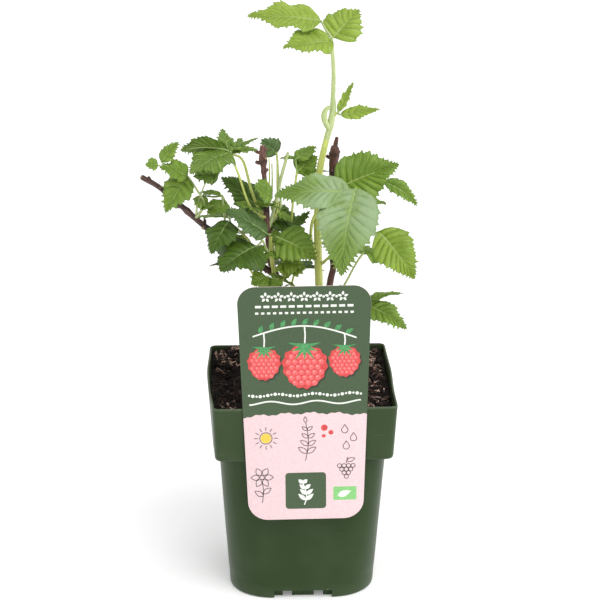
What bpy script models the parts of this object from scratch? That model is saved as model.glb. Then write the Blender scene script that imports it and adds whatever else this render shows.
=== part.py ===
"""Raspberry cane in a square nursery pot, with its hang label: the solids.

Metres, +Z up, the viewer looks along +Y. The origin is on the floor, under the pot's middle.
Sizes are written in millimetres and turned into metres by MM.
"""

import math
from collections import namedtuple

import bmesh
import bpy
from mathutils import Matrix, Vector, noise

MM = 0.001
CLEARANCE = 0.3  # between solids that touch
CORNER_STEPS = 5  # points round each corner of the pot and the soil

# Pot: a square thin-walled nursery pot with a wide collar
POT_HEIGHT = 150
COLLAR_FOOT = 110  # height of the collar's lower edge
RIM_WIDTH, COLLAR_FOOT_WIDTH = 130, 125
BODY_TOP_WIDTH, BODY_FOOT_WIDTH = 117, 103
RIM_RADIUS, COLLAR_RADIUS = 5, 6  # corners, seen from above
BODY_TOP_RADIUS, BODY_FOOT_RADIUS = 19, 31
COLLAR_SLOPE = (RIM_WIDTH - COLLAR_FOOT_WIDTH) / 2 / (POT_HEIGHT - COLLAR_FOOT)
WALL = 1.5
SHELF = 2.0  # thickness of the step under the collar
FLOOR_TOP = 8
EDGE_ROUND = 1.5

# Pot's foot: a notch in each side, and a grid of drainage channels
FOOT_HEIGHT = 6
NOTCH_WIDTH, NOTCH_DEPTH = 41, 5
CHANNEL_WIDTH = 6.6
CHANNEL_PITCH = 22.2  # between the two channels that run each way
DRAIN_RADIUS = 3.5
DRAIN_SIDES = 12

# Soil
SOIL_LEVEL = 144
SOIL_EDGE_DROP = 2.5
SOIL_ROUGHNESS = 2.2
SOIL_GRAIN = 13  # distance between its larger lumps
SOIL_RINGS = (1, 0.88, 0.75, 0.6, 0.45, 0.3, 0.15)  # the top's rings, as shares of the pot's width
CALM_RADIUS, CALM_FADE = 23, 12  # the soil is level round the canes' feet
HOLLOW_CENTRE, HOLLOW_RADIUS, HOLLOW_DEPTH = (-50, 22), 16, 7
RIDGE_CENTRE, RIDGE_RADIUS, RIDGE_HEIGHT = (-44, 52), 14, 5

# Label: a tapering card that leans on the collar's front
LABEL_THICKNESS = 0.8
LABEL_TOP, LABEL_FOOT = 238, 68
LABEL_TOP_WIDTH, LABEL_FOOT_WIDTH = 90, 80
LABEL_TOP_ROUND, LABEL_FOOT_ROUND = 12, 14
LABEL_TILT = 0.5  # degrees, anticlockwise as the viewer sees it
LABEL_SIDE = 1.4  # how far its foot hangs to the right of the middle
STRAP_WIDTH = 24
HOOK_DEPTH = 6.5  # how far the strap reaches down inside the rim

# Canes and shoots: points (x, y, z, radius). Those that start in the soil are cut level at FOOT_Z.
FOOT_Z = SOIL_LEVEL + CLEARANCE
CENTRE_CANE = [
    (-5, 6, FOOT_Z - 2, 4.4),
    (-5, 6, FOOT_Z + 3, 3.2),
    (-7.5, 5.5, 158, 2.6),
    (-16, 2, 218, 2.4),
    (-20, 0, 233, 2.3),
    (-23, 0, 262, 2.2),
    (-24, 0, 281, 2.1),
    (-25, 0, 299, 2.1),
    (-25.5, 0, 306, 2.9),
    (-26, 0, 313, 2.8),
    (-26, 0, 317, 2.2),
]
RIGHT_CANE = [
    (11, 9, FOOT_Z - 2, 4.4),
    (11, 9, FOOT_Z + 3, 3.2),
    (13, 9.3, 158, 2.6),
    (21, 10, 214, 2.4),
    (23.5, 10, 229, 2.3),
    (23, 10, 262, 2.3),
    (23, 10, 295, 2.5),
    (24, 10, 312, 2.6),
    (24.5, 10, 315, 1.1),
    (25.5, 10, 321, 0.7),
]
GREEN_SHOOT = [
    (15, -3, FOOT_Z - 2, 3.9),
    (15, -3, FOOT_Z + 3, 3.2),
    (14.5, -2.5, 158, 2.9),
    (13, -1, 214, 2.8),
    (12, 0, 250, 2.7),
    (12, 0, 272, 2.6),
    (13, 0, 297, 2.4),
    (16, 0, 314, 2.1),
    (20, 0, 331, 1.9),
    (21.5, 0, 341, 1.7),
    (22.5, 0, 366, 1.4),
    (21.5, 0, 383, 1.3),
    (21, 0, 390, 1.2),
]
LEFT_CANE = [
    (-23.8, -1.5, 229.5, 2.3),
    (-42, -1.5, 242, 2.4),
    (-66, -2, 261, 2.3),
    (-94, -8, 289, 2.1),
    (-109, -12, 300, 1.9),
]
SIDE_SHOOT = [
    (-19.5, -4.1, 232, 1.5),
    (-20, -8, 238, 1.5),
    (-21, -9.5, 248, 1.4),
    (-21, -11, 256, 1.2),
]

STALK_RADIUS = 0.85
SOCKET_RADIUS = 2.6  # a small swelling where leaflets meet their stalk
LEAFLET_STALK_RADIUS = 1.4
LEAF_THICKNESS = 3.2
LEAF_RIPPLE = 0.04  # height of the blade's waves, as a share of its width
REMESH_STEP = 1.0
STEM_CLEARANCE = 0.39  # round a stem, where a leaf mass wraps it
MASS_CLEARANCE = 0.42  # between two leaf masses that meet
MASS_FACES, LEAFLET_FACES = 85, 32  # each leaf mass has this many triangles, and these more per leaflet

# foot: the height where the stalk leaves its stem. A leaf with no foot sits on the stem's own end.
Leaf = namedtuple("Leaf", "stem foot hub leaflets")
# at: from the hub to the blade's base. Heading: 0 to the right, 90 away from the viewer.
Leaflet = namedtuple("Leaflet", "at heading rise length width roll droop")
HERE = (0, 0, 0)

LEAVES = {
    "leaf_top": Leaf("green_shoot", None, (21, 0, 392), [
        Leaflet((-7, 6, 11), -169, 6, 51, 31, -20, 20),
        Leaflet((1, 1, 0), 35, 37, 28, 29, 34, 10),
        Leaflet((0, -2, -2), -152, -1, 38, 30, -22, 20),
    ]),
    "leaf_node": Leaf("green_shoot", None, (25, -3, 341), [
        Leaflet((0, 0, 1), -16, 63, 24, 7, 60, -10),
        Leaflet((2, 0, -1), -15, 11, 28, 9, 60, 0),
    ]),
    "leaf_upper_right": Leaf("green_shoot", 274, (24, -16, 288), [
        Leaflet((0, 0, 3), 3, 21, 46, 35, 55, 12),
        Leaflet((34, 24, 1), -14, -34, 29, 12, 40, 45),
    ]),
    "leaf_front": Leaf("green_shoot", 259, (34, -33, 293), [
        Leaflet((-2, 0, 2), 172, -6, 53, 29, -45, 25),
        Leaflet((2, 1, 3), -112, -61, 62, 44, 8, 36),
    ]),
    "leaf_right_low": Leaf("green_shoot", 234, (51, -30, 264), [
        Leaflet((1, 0, 1), -30, -48, 41, 28, 45, 15),
    ]),
    "leaf_low_right": Leaf("right_cane", 180, (45, -10, 207), [
        Leaflet(HERE, 20, 7, 29, 13, -12, 28),
        Leaflet((0, 0, -1), -30, -23, 35, 21, 22, 22),
    ]),
    "leaf_upper_left": Leaf("centre_cane", 268, (-49, -14, 317), [
        Leaflet((-1, 0, 2), 163, -5, 34, 20, 60, 30),
        Leaflet((0, -1, 0), -144, -16, 34, 36, -8, 25),
        Leaflet((0, 1, 0), 109, 44, 19, 13, 20, 10),
        Leaflet((1, 0, 0), 36, 39, 13, 17, 0, 10),
        Leaflet((1, 1, 0), 35, 16, 24, 8, 0, 10),
        Leaflet((1, 1, 0), -9, 6, 19, 9, 20, 25),
    ]),
    "leaf_left_tip": Leaf("left_cane", 268, (-77, -14, 300), [
        Leaflet((0, -1, 0), -145, -49, 29, 23, -20, 20),
        Leaflet((0, -1, 1), -166, 21, 21, 16, -45, 20),
        Leaflet((-18, -4, 12), 10, 48, 18, 10, 60, 5),
        Leaflet((-20, -4, 10), -167, 4, 9, 9, -50, 5),
    ]),
    "leaf_left_mid": Leaf("centre_cane", 256, (-26, 10, 268), [
        Leaflet(HERE, 172, 40, 38, 23, -40, 10),
    ]),
    "leaf_left_inner": Leaf("left_cane", 254, (-54, 2, 282), [
        Leaflet((2, 0, -2), -145, -13, 18, 17, -20, 20),
        Leaflet((-1, 0, 1), 158, 0, 16, 8, -10, 20),
        Leaflet((-13, 2, 0), -129, -47, 11, 12, 0, 10),
    ]),
    "leaf_centre_left": Leaf("side_shoot", None, (-21, -12, 258), [
        Leaflet((-2, -2, 1), -165, 33, 36, 24, -42, 15),
    ]),
    "leaf_low_left": Leaf("left_cane", 240, (-48, -12, 266), [
        Leaflet((-2, 0, 2), -130, -46, 27, 27, -5, 20),
    ]),
    "leaf_low_front": Leaf("side_shoot", 244, (-27, -22, 257), [
        Leaflet((-1, 0, -1), -146, -23, 35, 44, -16, 25),
    ]),
    "leaf_centre_right": Leaf("side_shoot", 250, (-17, -11, 256), [
        Leaflet(HERE, -27, -22, 33, 27, 38, 20),
    ]),
    "leaf_centre_back": Leaf("centre_cane", 252, (-18, 10, 265), [
        Leaflet(HERE, 12, -13, 19, 20, 50, 20),
        Leaflet((15, 0, -7), 11, 43, 14, 6, 60, 0),
    ]),
    "leaf_small_right": Leaf("centre_cane", 220, (-13, -8, 237), [
        Leaflet((1, 0, 0), -24, -4, 15, 17, 45, 10),
        Leaflet(HERE, -57, -52, 12, 12, 20, 10),
        Leaflet((-1, 0, 1), 18, 24, 7, 9, 40, 10),
    ]),
    "leaf_small_left": Leaf("centre_cane", 212, (-24, -10, 227), [
        Leaflet(HERE, -150, -17, 13, 16, -40, 10),
        Leaflet((1, 0, -1), -56, -55, 8, 16, 0, 10),
    ]),
    "leaf_cane": Leaf("centre_cane", 276, (-22, -8, 286), [
        Leaflet((0, 0, -1), -151, 31, 15, 19, -50, 10),
    ]),
    "leaf_cane_top": Leaf("centre_cane", 262, (-16, 10, 309), [
        Leaflet(HERE, 170, 43, 15, 17, -45, 15),
    ]),
    "leaf_centre_top": Leaf("centre_cane", 240, (-2, 12, 296), [
        Leaflet(HERE, 15, 34, 18, 20, 50, 10),
        Leaflet((-1, 0, 9), 28, 23, 18, 13, 25, 5),
        Leaflet((-1, 0, 10), -170, 0, 11, 10, 10, 5),
        Leaflet((2, 0, -1), 11, 0, 21, 8, 0, 15),
    ]),
    "leaf_back_left": Leaf("left_cane", 247, (-50, 20, 262), [
        Leaflet(HERE, 95, -15, 34, 27, 0, 25),
        Leaflet(HERE, 145, -12, 26, 21, 0, 20),
        Leaflet(HERE, 45, -12, 24, 19, 0, 20),
    ]),
    "leaf_back_centre": Leaf("centre_cane", 231, (-20, 26, 250), [
        Leaflet(HERE, 85, -12, 36, 28, 0, 25),
        Leaflet(HERE, 140, -15, 30, 23, 0, 20),
        Leaflet(HERE, 25, -15, 28, 21, 0, 20),
    ]),
    "leaf_back_right": Leaf("right_cane", 250, (35, 30, 270), [
        Leaflet(HERE, 80, -12, 38, 30, 0, 25),
        Leaflet(HERE, 140, -12, 28, 22, 0, 20),
        Leaflet(HERE, 20, -12, 30, 22, 0, 20),
    ]),
    "leaf_back_low": Leaf("centre_cane", 196, (-2, 28, 222), [
        Leaflet(HERE, 95, -20, 34, 27, 0, 25),
        Leaflet(HERE, 150, -18, 27, 21, 0, 20),
        Leaflet(HERE, 40, -18, 27, 21, 0, 20),
    ]),
    "leaf_back_low_right": Leaf("right_cane", 206, (45, 14, 236), [
        Leaflet(HERE, 60, -15, 32, 26, 0, 25),
        Leaflet(HERE, 120, -15, 26, 20, 0, 20),
        Leaflet(HERE, 0, -18, 26, 19, 0, 20),
    ]),
    "leaf_back_low_left": Leaf("centre_cane", 188, (-40, 24, 230), [
        Leaflet(HERE, 110, -18, 32, 26, 0, 25),
        Leaflet(HERE, 165, -18, 26, 20, 0, 20),
        Leaflet(HERE, 50, -18, 26, 20, 0, 20),
    ]),
}

COLOURS = {  # linear RGB, roughness
    "pot": ((0.055, 0.085, 0.042), 0.45),
    "soil": ((0.012, 0.009, 0.007), 1.0),
    "label": ((0.080, 0.130, 0.070), 0.4),
    "bark": ((0.085, 0.032, 0.024), 0.7),
    "shoot": ((0.340, 0.480, 0.130), 0.5),
    "leaf": ((0.130, 0.280, 0.045), 0.5),
}
STEM_COLOURS = {"centre_cane": "bark", "right_cane": "bark", "left_cane": "bark"}


def clear_scene():
    for thing in list(bpy.data.objects):
        bpy.data.objects.remove(thing, do_unlink=True)


def collection(name):
    made = bpy.data.collections.new(name)
    bpy.context.scene.collection.children.link(made)
    return made


def material(name, look):
    colour, roughness = COLOURS[look]
    made = bpy.data.materials.new(name)
    made.use_nodes = True
    shader = made.node_tree.nodes["Principled BSDF"]
    shader.inputs["Base Color"].default_value = (*colour, 1)
    shader.inputs["Roughness"].default_value = roughness
    made.diffuse_color = (*colour, 1)
    return made


def add_object(name, shape, group, look=None):
    made = bpy.data.objects.new(name, shape)
    group.objects.link(made)
    if look:
        shape.materials.clear()
        shape.materials.append(material(name, look))
    return made


def mesh_from(bm, name):
    bmesh.ops.recalc_face_normals(bm, faces=bm.faces[:])
    mesh = bpy.data.meshes.new(name)
    bm.to_mesh(mesh)
    bm.free()
    return mesh


def evaluated_mesh(thing, name):
    """The object's mesh with its modifiers applied, its loose caps welded."""
    bpy.context.view_layer.update()
    graph = bpy.context.evaluated_depsgraph_get()
    mesh = bpy.data.meshes.new_from_object(thing.evaluated_get(graph), depsgraph=graph)
    mesh.name = name
    bm = bmesh.new()
    bm.from_mesh(mesh)
    bmesh.ops.remove_doubles(bm, verts=bm.verts[:], dist=0.01 * MM)
    bm.to_mesh(mesh)
    bm.free()
    return mesh


def bounds(mesh):
    low = Vector(min(v.co[i] for v in mesh.vertices) for i in range(3))
    high = Vector(max(v.co[i] for v in mesh.vertices) for i in range(3))
    return low, high


def near(one, other):
    """Whether two meshes' boxes meet."""
    (a, b), (c, d) = bounds(one), bounds(other)
    return all(a[i] <= d[i] and c[i] <= b[i] for i in range(3))


def cut(thing, cutters, operation="DIFFERENCE"):
    """Cuts a mesh object with others, or joins them to it, and applies the result."""
    for cutter in cutters:
        boolean = thing.modifiers.new("cut", "BOOLEAN")
        boolean.operation = operation
        boolean.solver = "EXACT"
        boolean.object = cutter
        cutter.hide_render = True
        cutter.display_type = "WIRE"
    mesh = evaluated_mesh(thing, thing.name)
    for boolean in list(thing.modifiers):
        thing.modifiers.remove(boolean)
    old, looks = thing.data, list(thing.data.materials)
    mesh.materials.clear()
    for look in looks:
        mesh.materials.append(look)
    thing.data = mesh
    bpy.data.meshes.remove(old)


def box(name, low, high, group):
    """A box between two corners in millimetres."""
    size = [(b - a) * MM for a, b in zip(low, high)]
    middle = [(a + b) / 2 * MM for a, b in zip(low, high)]
    bm = bmesh.new()
    bmesh.ops.create_cube(bm, size=1)
    bmesh.ops.scale(bm, vec=size, verts=bm.verts)
    bmesh.ops.translate(bm, vec=middle, verts=bm.verts)
    return add_object(name, mesh_from(bm, name), group)


# Pot and soil are lofts between square sections with rounded corners

def rounded_square(width, radius, height):
    """A closed ring of points, anticlockwise from above."""
    half = width / 2 - radius
    corners = [(half, half, 0), (-half, half, 90), (-half, -half, 180), (half, -half, 270)]
    ring = []
    for x, y, start in corners:
        for step in range(CORNER_STEPS):
            turn = math.radians(start + 90 * step / (CORNER_STEPS - 1))
            ring.append((x + radius * math.cos(turn), y + radius * math.sin(turn), height))
    return ring


def loft(rings):
    """A closed solid through rings with the same number of points."""
    bm = bmesh.new()
    made = [[bm.verts.new(Vector(p) * MM) for p in ring] for ring in rings]
    count = len(made[0])
    for low, high in zip(made, made[1:]):
        for i in range(count):
            j = (i + 1) % count
            bm.faces.new((low[i], low[j], high[j], high[i]))
    bm.faces.new(reversed(made[0]))
    bm.faces.new(made[-1])
    bmesh.ops.triangulate(bm, faces=[f for f in bm.faces if len(f.verts) > 4])
    return bm


def body_section(height, inset=0):
    """The pot's lower body at a height, as a width and a corner radius."""
    share = height / COLLAR_FOOT
    width = BODY_FOOT_WIDTH + (BODY_TOP_WIDTH - BODY_FOOT_WIDTH) * share
    radius = BODY_FOOT_RADIUS + (BODY_TOP_RADIUS - BODY_FOOT_RADIUS) * share
    return width - 2 * inset, radius - inset


def collar_section(height, inset=0):
    share = (height - COLLAR_FOOT) / (POT_HEIGHT - COLLAR_FOOT)
    width = COLLAR_FOOT_WIDTH + (RIM_WIDTH - COLLAR_FOOT_WIDTH) * share
    radius = COLLAR_RADIUS + (RIM_RADIUS - COLLAR_RADIUS) * share
    return width - 2 * inset, radius - inset


def pot_outside():
    return [
        rounded_square(*body_section(0, EDGE_ROUND), 0),
        rounded_square(*body_section(EDGE_ROUND), EDGE_ROUND),
        rounded_square(*body_section(COLLAR_FOOT / 2), COLLAR_FOOT / 2),
        rounded_square(*body_section(COLLAR_FOOT), COLLAR_FOOT),
        rounded_square(*collar_section(COLLAR_FOOT, EDGE_ROUND / 2), COLLAR_FOOT),
        rounded_square(*collar_section(COLLAR_FOOT + 1), COLLAR_FOOT + 1),
        rounded_square(*collar_section(POT_HEIGHT), POT_HEIGHT),
    ]


def pot_inside(inset, floor, top):
    """The rings of the room inside the walls."""
    shelf = COLLAR_FOOT + SHELF + inset - WALL
    return [
        rounded_square(*body_section(floor, inset), floor),
        rounded_square(*body_section(COLLAR_FOOT / 2, inset), COLLAR_FOOT / 2),
        rounded_square(*body_section(shelf, inset), shelf),
        rounded_square(*collar_section(shelf, inset), shelf),
        rounded_square(*collar_section(top, inset), top),
    ]


def drain(x, y, group):
    """A round hole through the pot's floor."""
    bm = bmesh.new()
    bmesh.ops.create_cone(
        bm, cap_ends=True, segments=DRAIN_SIDES, radius1=DRAIN_RADIUS * MM,
        radius2=DRAIN_RADIUS * MM, depth=4 * FLOOR_TOP * MM,
        matrix=Matrix.Translation((x * MM, y * MM, 0)),
    )
    return add_object("drain", mesh_from(bm, "drain"), group)


def build_pot(group, cutters):
    pot = add_object("pot", mesh_from(loft(pot_outside()), "pot"), group, "pot")
    room = mesh_from(loft(pot_inside(WALL, FLOOR_TOP, POT_HEIGHT + 5)), "pot_room")
    tools = [add_object("pot_room", room, cutters)]
    reach, low = RIM_WIDTH, -FOOT_HEIGHT
    edge = BODY_FOOT_WIDTH / 2 - NOTCH_DEPTH
    half = NOTCH_WIDTH / 2
    tools.append(box("notch_front", (-half, -reach, low), (half, -edge, FOOT_HEIGHT), cutters))
    tools.append(box("notch_back", (-half, edge, low), (half, reach, FOOT_HEIGHT), cutters))
    tools.append(box("notch_left", (-reach, -half, low), (-edge, half, FOOT_HEIGHT), cutters))
    tools.append(box("notch_right", (edge, -half, low), (reach, half, FOOT_HEIGHT), cutters))
    for side in (-1, 1):
        near_edge = side * CHANNEL_PITCH / 2 - CHANNEL_WIDTH / 2
        far_edge = near_edge + CHANNEL_WIDTH
        low_x, high_x = (-reach, near_edge, low), (reach, far_edge, FOOT_HEIGHT)
        low_y, high_y = (near_edge, -reach, low), (far_edge, reach, FOOT_HEIGHT)
        tools.append(box("channel_x", low_x, high_x, cutters))
        tools.append(box("channel_y", low_y, high_y, cutters))
        for other in (-1, 1):
            tools.append(drain(side * CHANNEL_PITCH / 2, other * CHANNEL_PITCH / 2, cutters))
    cut(pot, tools)
    return pot


def bump(x, y, centre, radius):
    """1 at the centre, falling smoothly to 0 at the radius."""
    away = math.hypot(x - centre[0], y - centre[1]) / radius
    return (1 + math.cos(math.pi * min(away, 1))) / 2


def soil_height(x, y):
    edge = max(abs(x), abs(y)) / (RIM_WIDTH / 2)
    rough = noise.noise(Vector((x, y, 7)) / SOIL_GRAIN) * SOIL_ROUGHNESS
    calm = min(max((math.hypot(x, y) - CALM_RADIUS) / CALM_FADE, 0), 1)
    height = SOIL_LEVEL + calm * (rough - SOIL_EDGE_DROP * edge)
    height -= HOLLOW_DEPTH * bump(x, y, HOLLOW_CENTRE, HOLLOW_RADIUS)
    return height + RIDGE_HEIGHT * bump(x, y, RIDGE_CENTRE, RIDGE_RADIUS)


def build_soil(group):
    """A plug that fills the pot, with an uneven top made of shrinking rings."""
    inset = WALL + CLEARANCE
    edge_level = SOIL_LEVEL - SOIL_EDGE_DROP
    rings = pot_inside(inset, FLOOR_TOP + CLEARANCE, edge_level)
    outer = rings.pop()
    for share in SOIL_RINGS:
        ring = [(x * share, y * share) for x, y, z in outer]
        rings.append([(x, y, soil_height(x, y)) for x, y in ring])
    return add_object("soil", mesh_from(loft(rings), "soil"), group, "soil")


def label_outline():
    """The card's outline in its own plane, x across and y up from its foot."""
    height = LABEL_TOP - LABEL_FOOT
    corners = [
        (LABEL_FOOT_WIDTH / 2, 0, LABEL_FOOT_ROUND, 270),
        (LABEL_TOP_WIDTH / 2, height, LABEL_TOP_ROUND, 0),
        (-LABEL_TOP_WIDTH / 2, height, LABEL_TOP_ROUND, 90),
        (-LABEL_FOOT_WIDTH / 2, 0, LABEL_FOOT_ROUND, 180),
    ]
    points = []
    for x, y, radius, start in corners:
        centre_x = x - math.copysign(radius, x)
        centre_y = radius if y == 0 else y - radius
        for step in range(CORNER_STEPS + 1):
            turn = math.radians(start + 90 * step / CORNER_STEPS)
            points.append((centre_x + radius * math.cos(turn), centre_y + radius * math.sin(turn)))
    return points


def label_place():
    """The card hangs plumb from the rim, and its back just clears the rim's front."""
    front = RIM_WIDTH / 2 + CLEARANCE + LABEL_THICKNESS / 2
    foot = Vector((LABEL_SIDE, -front, LABEL_FOOT)) * MM
    tilt = Matrix.Rotation(math.radians(LABEL_TILT), 4, "Z")
    upright = Matrix.Rotation(math.pi / 2, 4, "X")
    return Matrix.Translation(foot) @ upright @ tilt


def build_label(group, cutters):
    curve = bpy.data.curves.new("label", "CURVE")
    curve.dimensions = "2D"
    curve.fill_mode = "BOTH"
    curve.extrude = LABEL_THICKNESS / 2 * MM
    spline = curve.splines.new("POLY")
    outline = label_outline()
    spline.points.add(len(outline) - 1)
    for point, (x, y) in zip(spline.points, outline):
        point.co = (x * MM, y * MM, 0, 1)
    spline.use_cyclic_u = True
    flat = add_object("label_card", curve, cutters)
    mesh = evaluated_mesh(flat, "label")
    mesh.transform(label_place())
    bpy.data.objects.remove(flat, do_unlink=True)
    label = add_object("label", mesh, group, "label")
    half = STRAP_WIDTH / 2
    over = POT_HEIGHT + CLEARANCE
    inner = -(RIM_WIDTH / 2 - WALL - CLEARANCE - HOOK_DEPTH * COLLAR_SLOPE)
    top = over + LABEL_THICKNESS
    outside = -(RIM_WIDTH / 2 + CLEARANCE + LABEL_THICKNESS)
    bridge = box("strap", (-half, outside, over), (half, inner + LABEL_THICKNESS, top), cutters)
    hook_foot = (-half, inner, over - HOOK_DEPTH)
    hook = box("hook", hook_foot, (half, inner + LABEL_THICKNESS, top), cutters)
    cut(label, [bridge, hook], "UNION")
    return label


# Stems are curves with a radius at each point


def tube(name, points, group, extra=0, sides=2):
    """A tapering stem through points (x, y, z, radius), its radius raised by extra."""
    curve = bpy.data.curves.new(name, "CURVE")
    curve.dimensions = "3D"
    curve.bevel_depth = MM
    curve.bevel_resolution = sides
    curve.use_fill_caps = True
    spline = curve.splines.new("POLY")
    spline.points.add(len(points) - 1)
    for point, (x, y, z, radius) in zip(spline.points, points):
        point.co = (x * MM, y * MM, z * MM, 1)
        point.radius = radius + extra
    loose = add_object(name + "_curve", curve, group)
    mesh = evaluated_mesh(loose, name)
    bpy.data.objects.remove(loose, do_unlink=True)
    bm = bmesh.new()
    bm.from_mesh(mesh)
    bpy.data.meshes.remove(mesh)
    return mesh_from(bm, name)


def cut_level(mesh, height):
    """Takes away what is below a height, and leaves a flat foot."""
    bm = bmesh.new()
    bm.from_mesh(mesh)
    everything = bm.verts[:] + bm.edges[:] + bm.faces[:]
    plane = Vector((0, 0, height)) * MM
    bmesh.ops.bisect_plane(bm, geom=everything, plane_co=plane, plane_no=(0, 0, 1), clear_inner=True)
    bmesh.ops.holes_fill(bm, edges=[edge for edge in bm.edges if edge.is_boundary])
    bm.to_mesh(mesh)
    bm.free()


def smooth_path(points, steps):
    """Points on a smooth curve through the given ones, with their radii."""
    rows = [Vector(p) for p in points]
    rows = [2 * rows[0] - rows[1], *rows, 2 * rows[-1] - rows[-2]]
    path = []
    for a, b, c, d in zip(rows, rows[1:], rows[2:], rows[3:]):
        first, second = (c - a) / 2, a - b * 2.5 + c * 2 - d / 2
        third = b * 1.5 - c * 1.5 + (d - a) / 2
        for i in range(steps):
            t = i / steps
            path.append(b + first * t + second * t**2 + third * t**3)
    return [tuple(p) for p in path] + [tuple(rows[-2])]


def station(path, height):
    """A rising stem's middle, its direction and its radius at a height."""
    for low, high in zip(path, path[1:]):
        if low[2] <= height <= high[2]:
            place = Vector(low).lerp(Vector(high), (height - low[2]) / (high[2] - low[2]))
            along = Vector(high[:3]) - Vector(low[:3])
            return place.to_3d(), along.normalized(), place.w
    raise ValueError(f"no part of the stem is {height} mm high")


def stalk_path(leaf, stem_path):
    """A stalk from the skin of its stem to its leaf's hub, which leaves the stem outwards
    and upwards, and comes to the hub from a little above the straight line."""
    foot, along, radius = station(stem_path, leaf.foot)
    hub = Vector(leaf.hub)
    away = hub - foot
    away = (away - along * away.dot(along)).normalized()
    start = foot + away * (radius + CLEARANCE + STALK_RADIUS)
    span = (hub - start).length
    bend = start + (away * 0.75 + Vector((0, 0, 0.66))) * span * 0.25
    late = bend.lerp(hub, 0.6) + Vector((0, 0, span * 0.03))
    rows = [(*start, STALK_RADIUS * 1.1)]
    rows += [(*place, STALK_RADIUS) for place in (bend, late, hub)]
    return smooth_path(rows, 2)


def direction(heading, rise):
    heading, rise = math.radians(heading), math.radians(rise)
    flat = math.cos(rise)
    return Vector((math.cos(heading) * flat, math.sin(heading) * flat, math.sin(rise)))


def blade_width(share):
    """A leaflet's width along its length, 1 at its widest."""
    return 1.12 * math.sin(math.pi * share**0.72) ** 0.85 * (1 - 0.25 * share)


def leaflet_frame(leaflet, share):
    """The leaflet's own directions at a share of its length: along, across and up."""
    rise = leaflet.rise + leaflet.droop * (0.5 - share)
    along = direction(leaflet.heading, rise)
    across = Vector((0, 0, 1)).cross(along).normalized()
    up = along.cross(across)
    turn, lift = math.cos(math.radians(leaflet.roll)), math.sin(math.radians(leaflet.roll))
    return along, across * turn + up * lift, up * turn - across * lift


def leaflet_point(leaf, leaflet, share):
    """A point on the leaflet's midrib."""
    place = Vector(leaf.hub) + Vector(leaflet.at)
    steps = 8
    for step in range(steps):
        middle = share * (step + 0.5) / steps
        place += leaflet_frame(leaflet, middle)[0] * leaflet.length * share / steps
    return place


def add_pad(bm, leaf, leaflet):
    """A sphere drawn out into the leaflet's bent outline."""
    ball = bmesh.ops.create_icosphere(bm, subdivisions=3, radius=1)
    for vert in ball["verts"]:
        x, y, z = vert.co
        share = math.acos(max(-1, min(1, -x))) / math.pi
        around = math.hypot(y, z) or 1
        along, across, up = leaflet_frame(leaflet, share)
        half_width = leaflet.width / 2 * blade_width(share)
        thick = LEAF_THICKNESS / 2 * min(1, 3 * math.sin(math.pi * share) + 0.35)
        side = y / around * half_width
        ripple = LEAF_RIPPLE * side * math.sin(9 * share + y * 2)
        lift = z / around * thick + ripple
        vert.co = (leaflet_point(leaf, leaflet, share) + across * side + up * lift) * MM


def add_rod(bm, start, end, radius):
    """A short stalk between the hub and a leaflet that stands off it."""
    start, end = Vector(start), Vector(end)
    turn = (end - start).to_track_quat("Z", "Y").to_matrix().to_4x4()
    bmesh.ops.create_cone(
        bm, cap_ends=True, segments=8, radius1=radius * MM, radius2=radius * MM,
        depth=(end - start).length * MM, matrix=Matrix.Translation((start + end) / 2 * MM) @ turn,
    )


def keep_largest(mesh):
    """Drops all but the largest of the mesh's separate bodies."""
    bm = bmesh.new()
    bm.from_mesh(mesh)
    left, bodies = set(bm.verts), []
    while left:
        body, edge = set(), [left.pop()]
        while edge:
            vert = edge.pop()
            body.add(vert)
            for link in vert.link_edges:
                other = link.other_vert(vert)
                if other in left:
                    left.remove(other)
                    edge.append(other)
        bodies.append(body)
    bodies.sort(key=len)
    bmesh.ops.delete(bm, geom=[v for body in bodies[:-1] for v in body], context="VERTS")
    bmesh.ops.triangulate(bm, faces=bm.faces[:])
    bm.to_mesh(mesh)
    bm.free()


def build_mass(name, leaf, group):
    """A leaf's leaflets as one closed, uneven body."""
    bm = bmesh.new()
    hub = Matrix.Translation(Vector(leaf.hub) * MM)
    bmesh.ops.create_icosphere(bm, subdivisions=2, radius=SOCKET_RADIUS * MM, matrix=hub)
    for leaflet in leaf.leaflets:
        add_pad(bm, leaf, leaflet)
        if Vector(leaflet.at).length > SOCKET_RADIUS:
            inside = leaflet_point(leaf, leaflet, 0.15)
            add_rod(bm, leaf.hub, inside, LEAFLET_STALK_RADIUS)
    mass = add_object(name, mesh_from(bm, name), group, "leaf")
    remesh = mass.modifiers.new("one skin", "REMESH")
    remesh.mode = "VOXEL"
    remesh.voxel_size = REMESH_STEP * MM
    whole = evaluated_mesh(mass, name)
    mass.modifiers.remove(remesh)
    triangles = sum(len(face.vertices) - 2 for face in whole.polygons)
    mass.data = whole
    thin = mass.modifiers.new("few faces", "DECIMATE")
    thin.ratio = min(1, (MASS_FACES + LEAFLET_FACES * len(leaf.leaflets)) / triangles)
    mass.data = evaluated_mesh(mass, name)
    mass.modifiers.remove(thin)
    keep_largest(mass.data)
    mass.data.materials.clear()
    mass.data.materials.append(material(name, "leaf"))
    return mass


def fattened(mesh, by):
    """A copy of the mesh that is larger all round."""
    bm = bmesh.new()
    bm.from_mesh(mesh)
    bm.normal_update()
    moves = [(vert, vert.normal.copy()) for vert in bm.verts]
    for vert, normal in moves:
        vert.co += normal * by * MM
    return mesh_from(bm, mesh.name + "_room")


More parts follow.
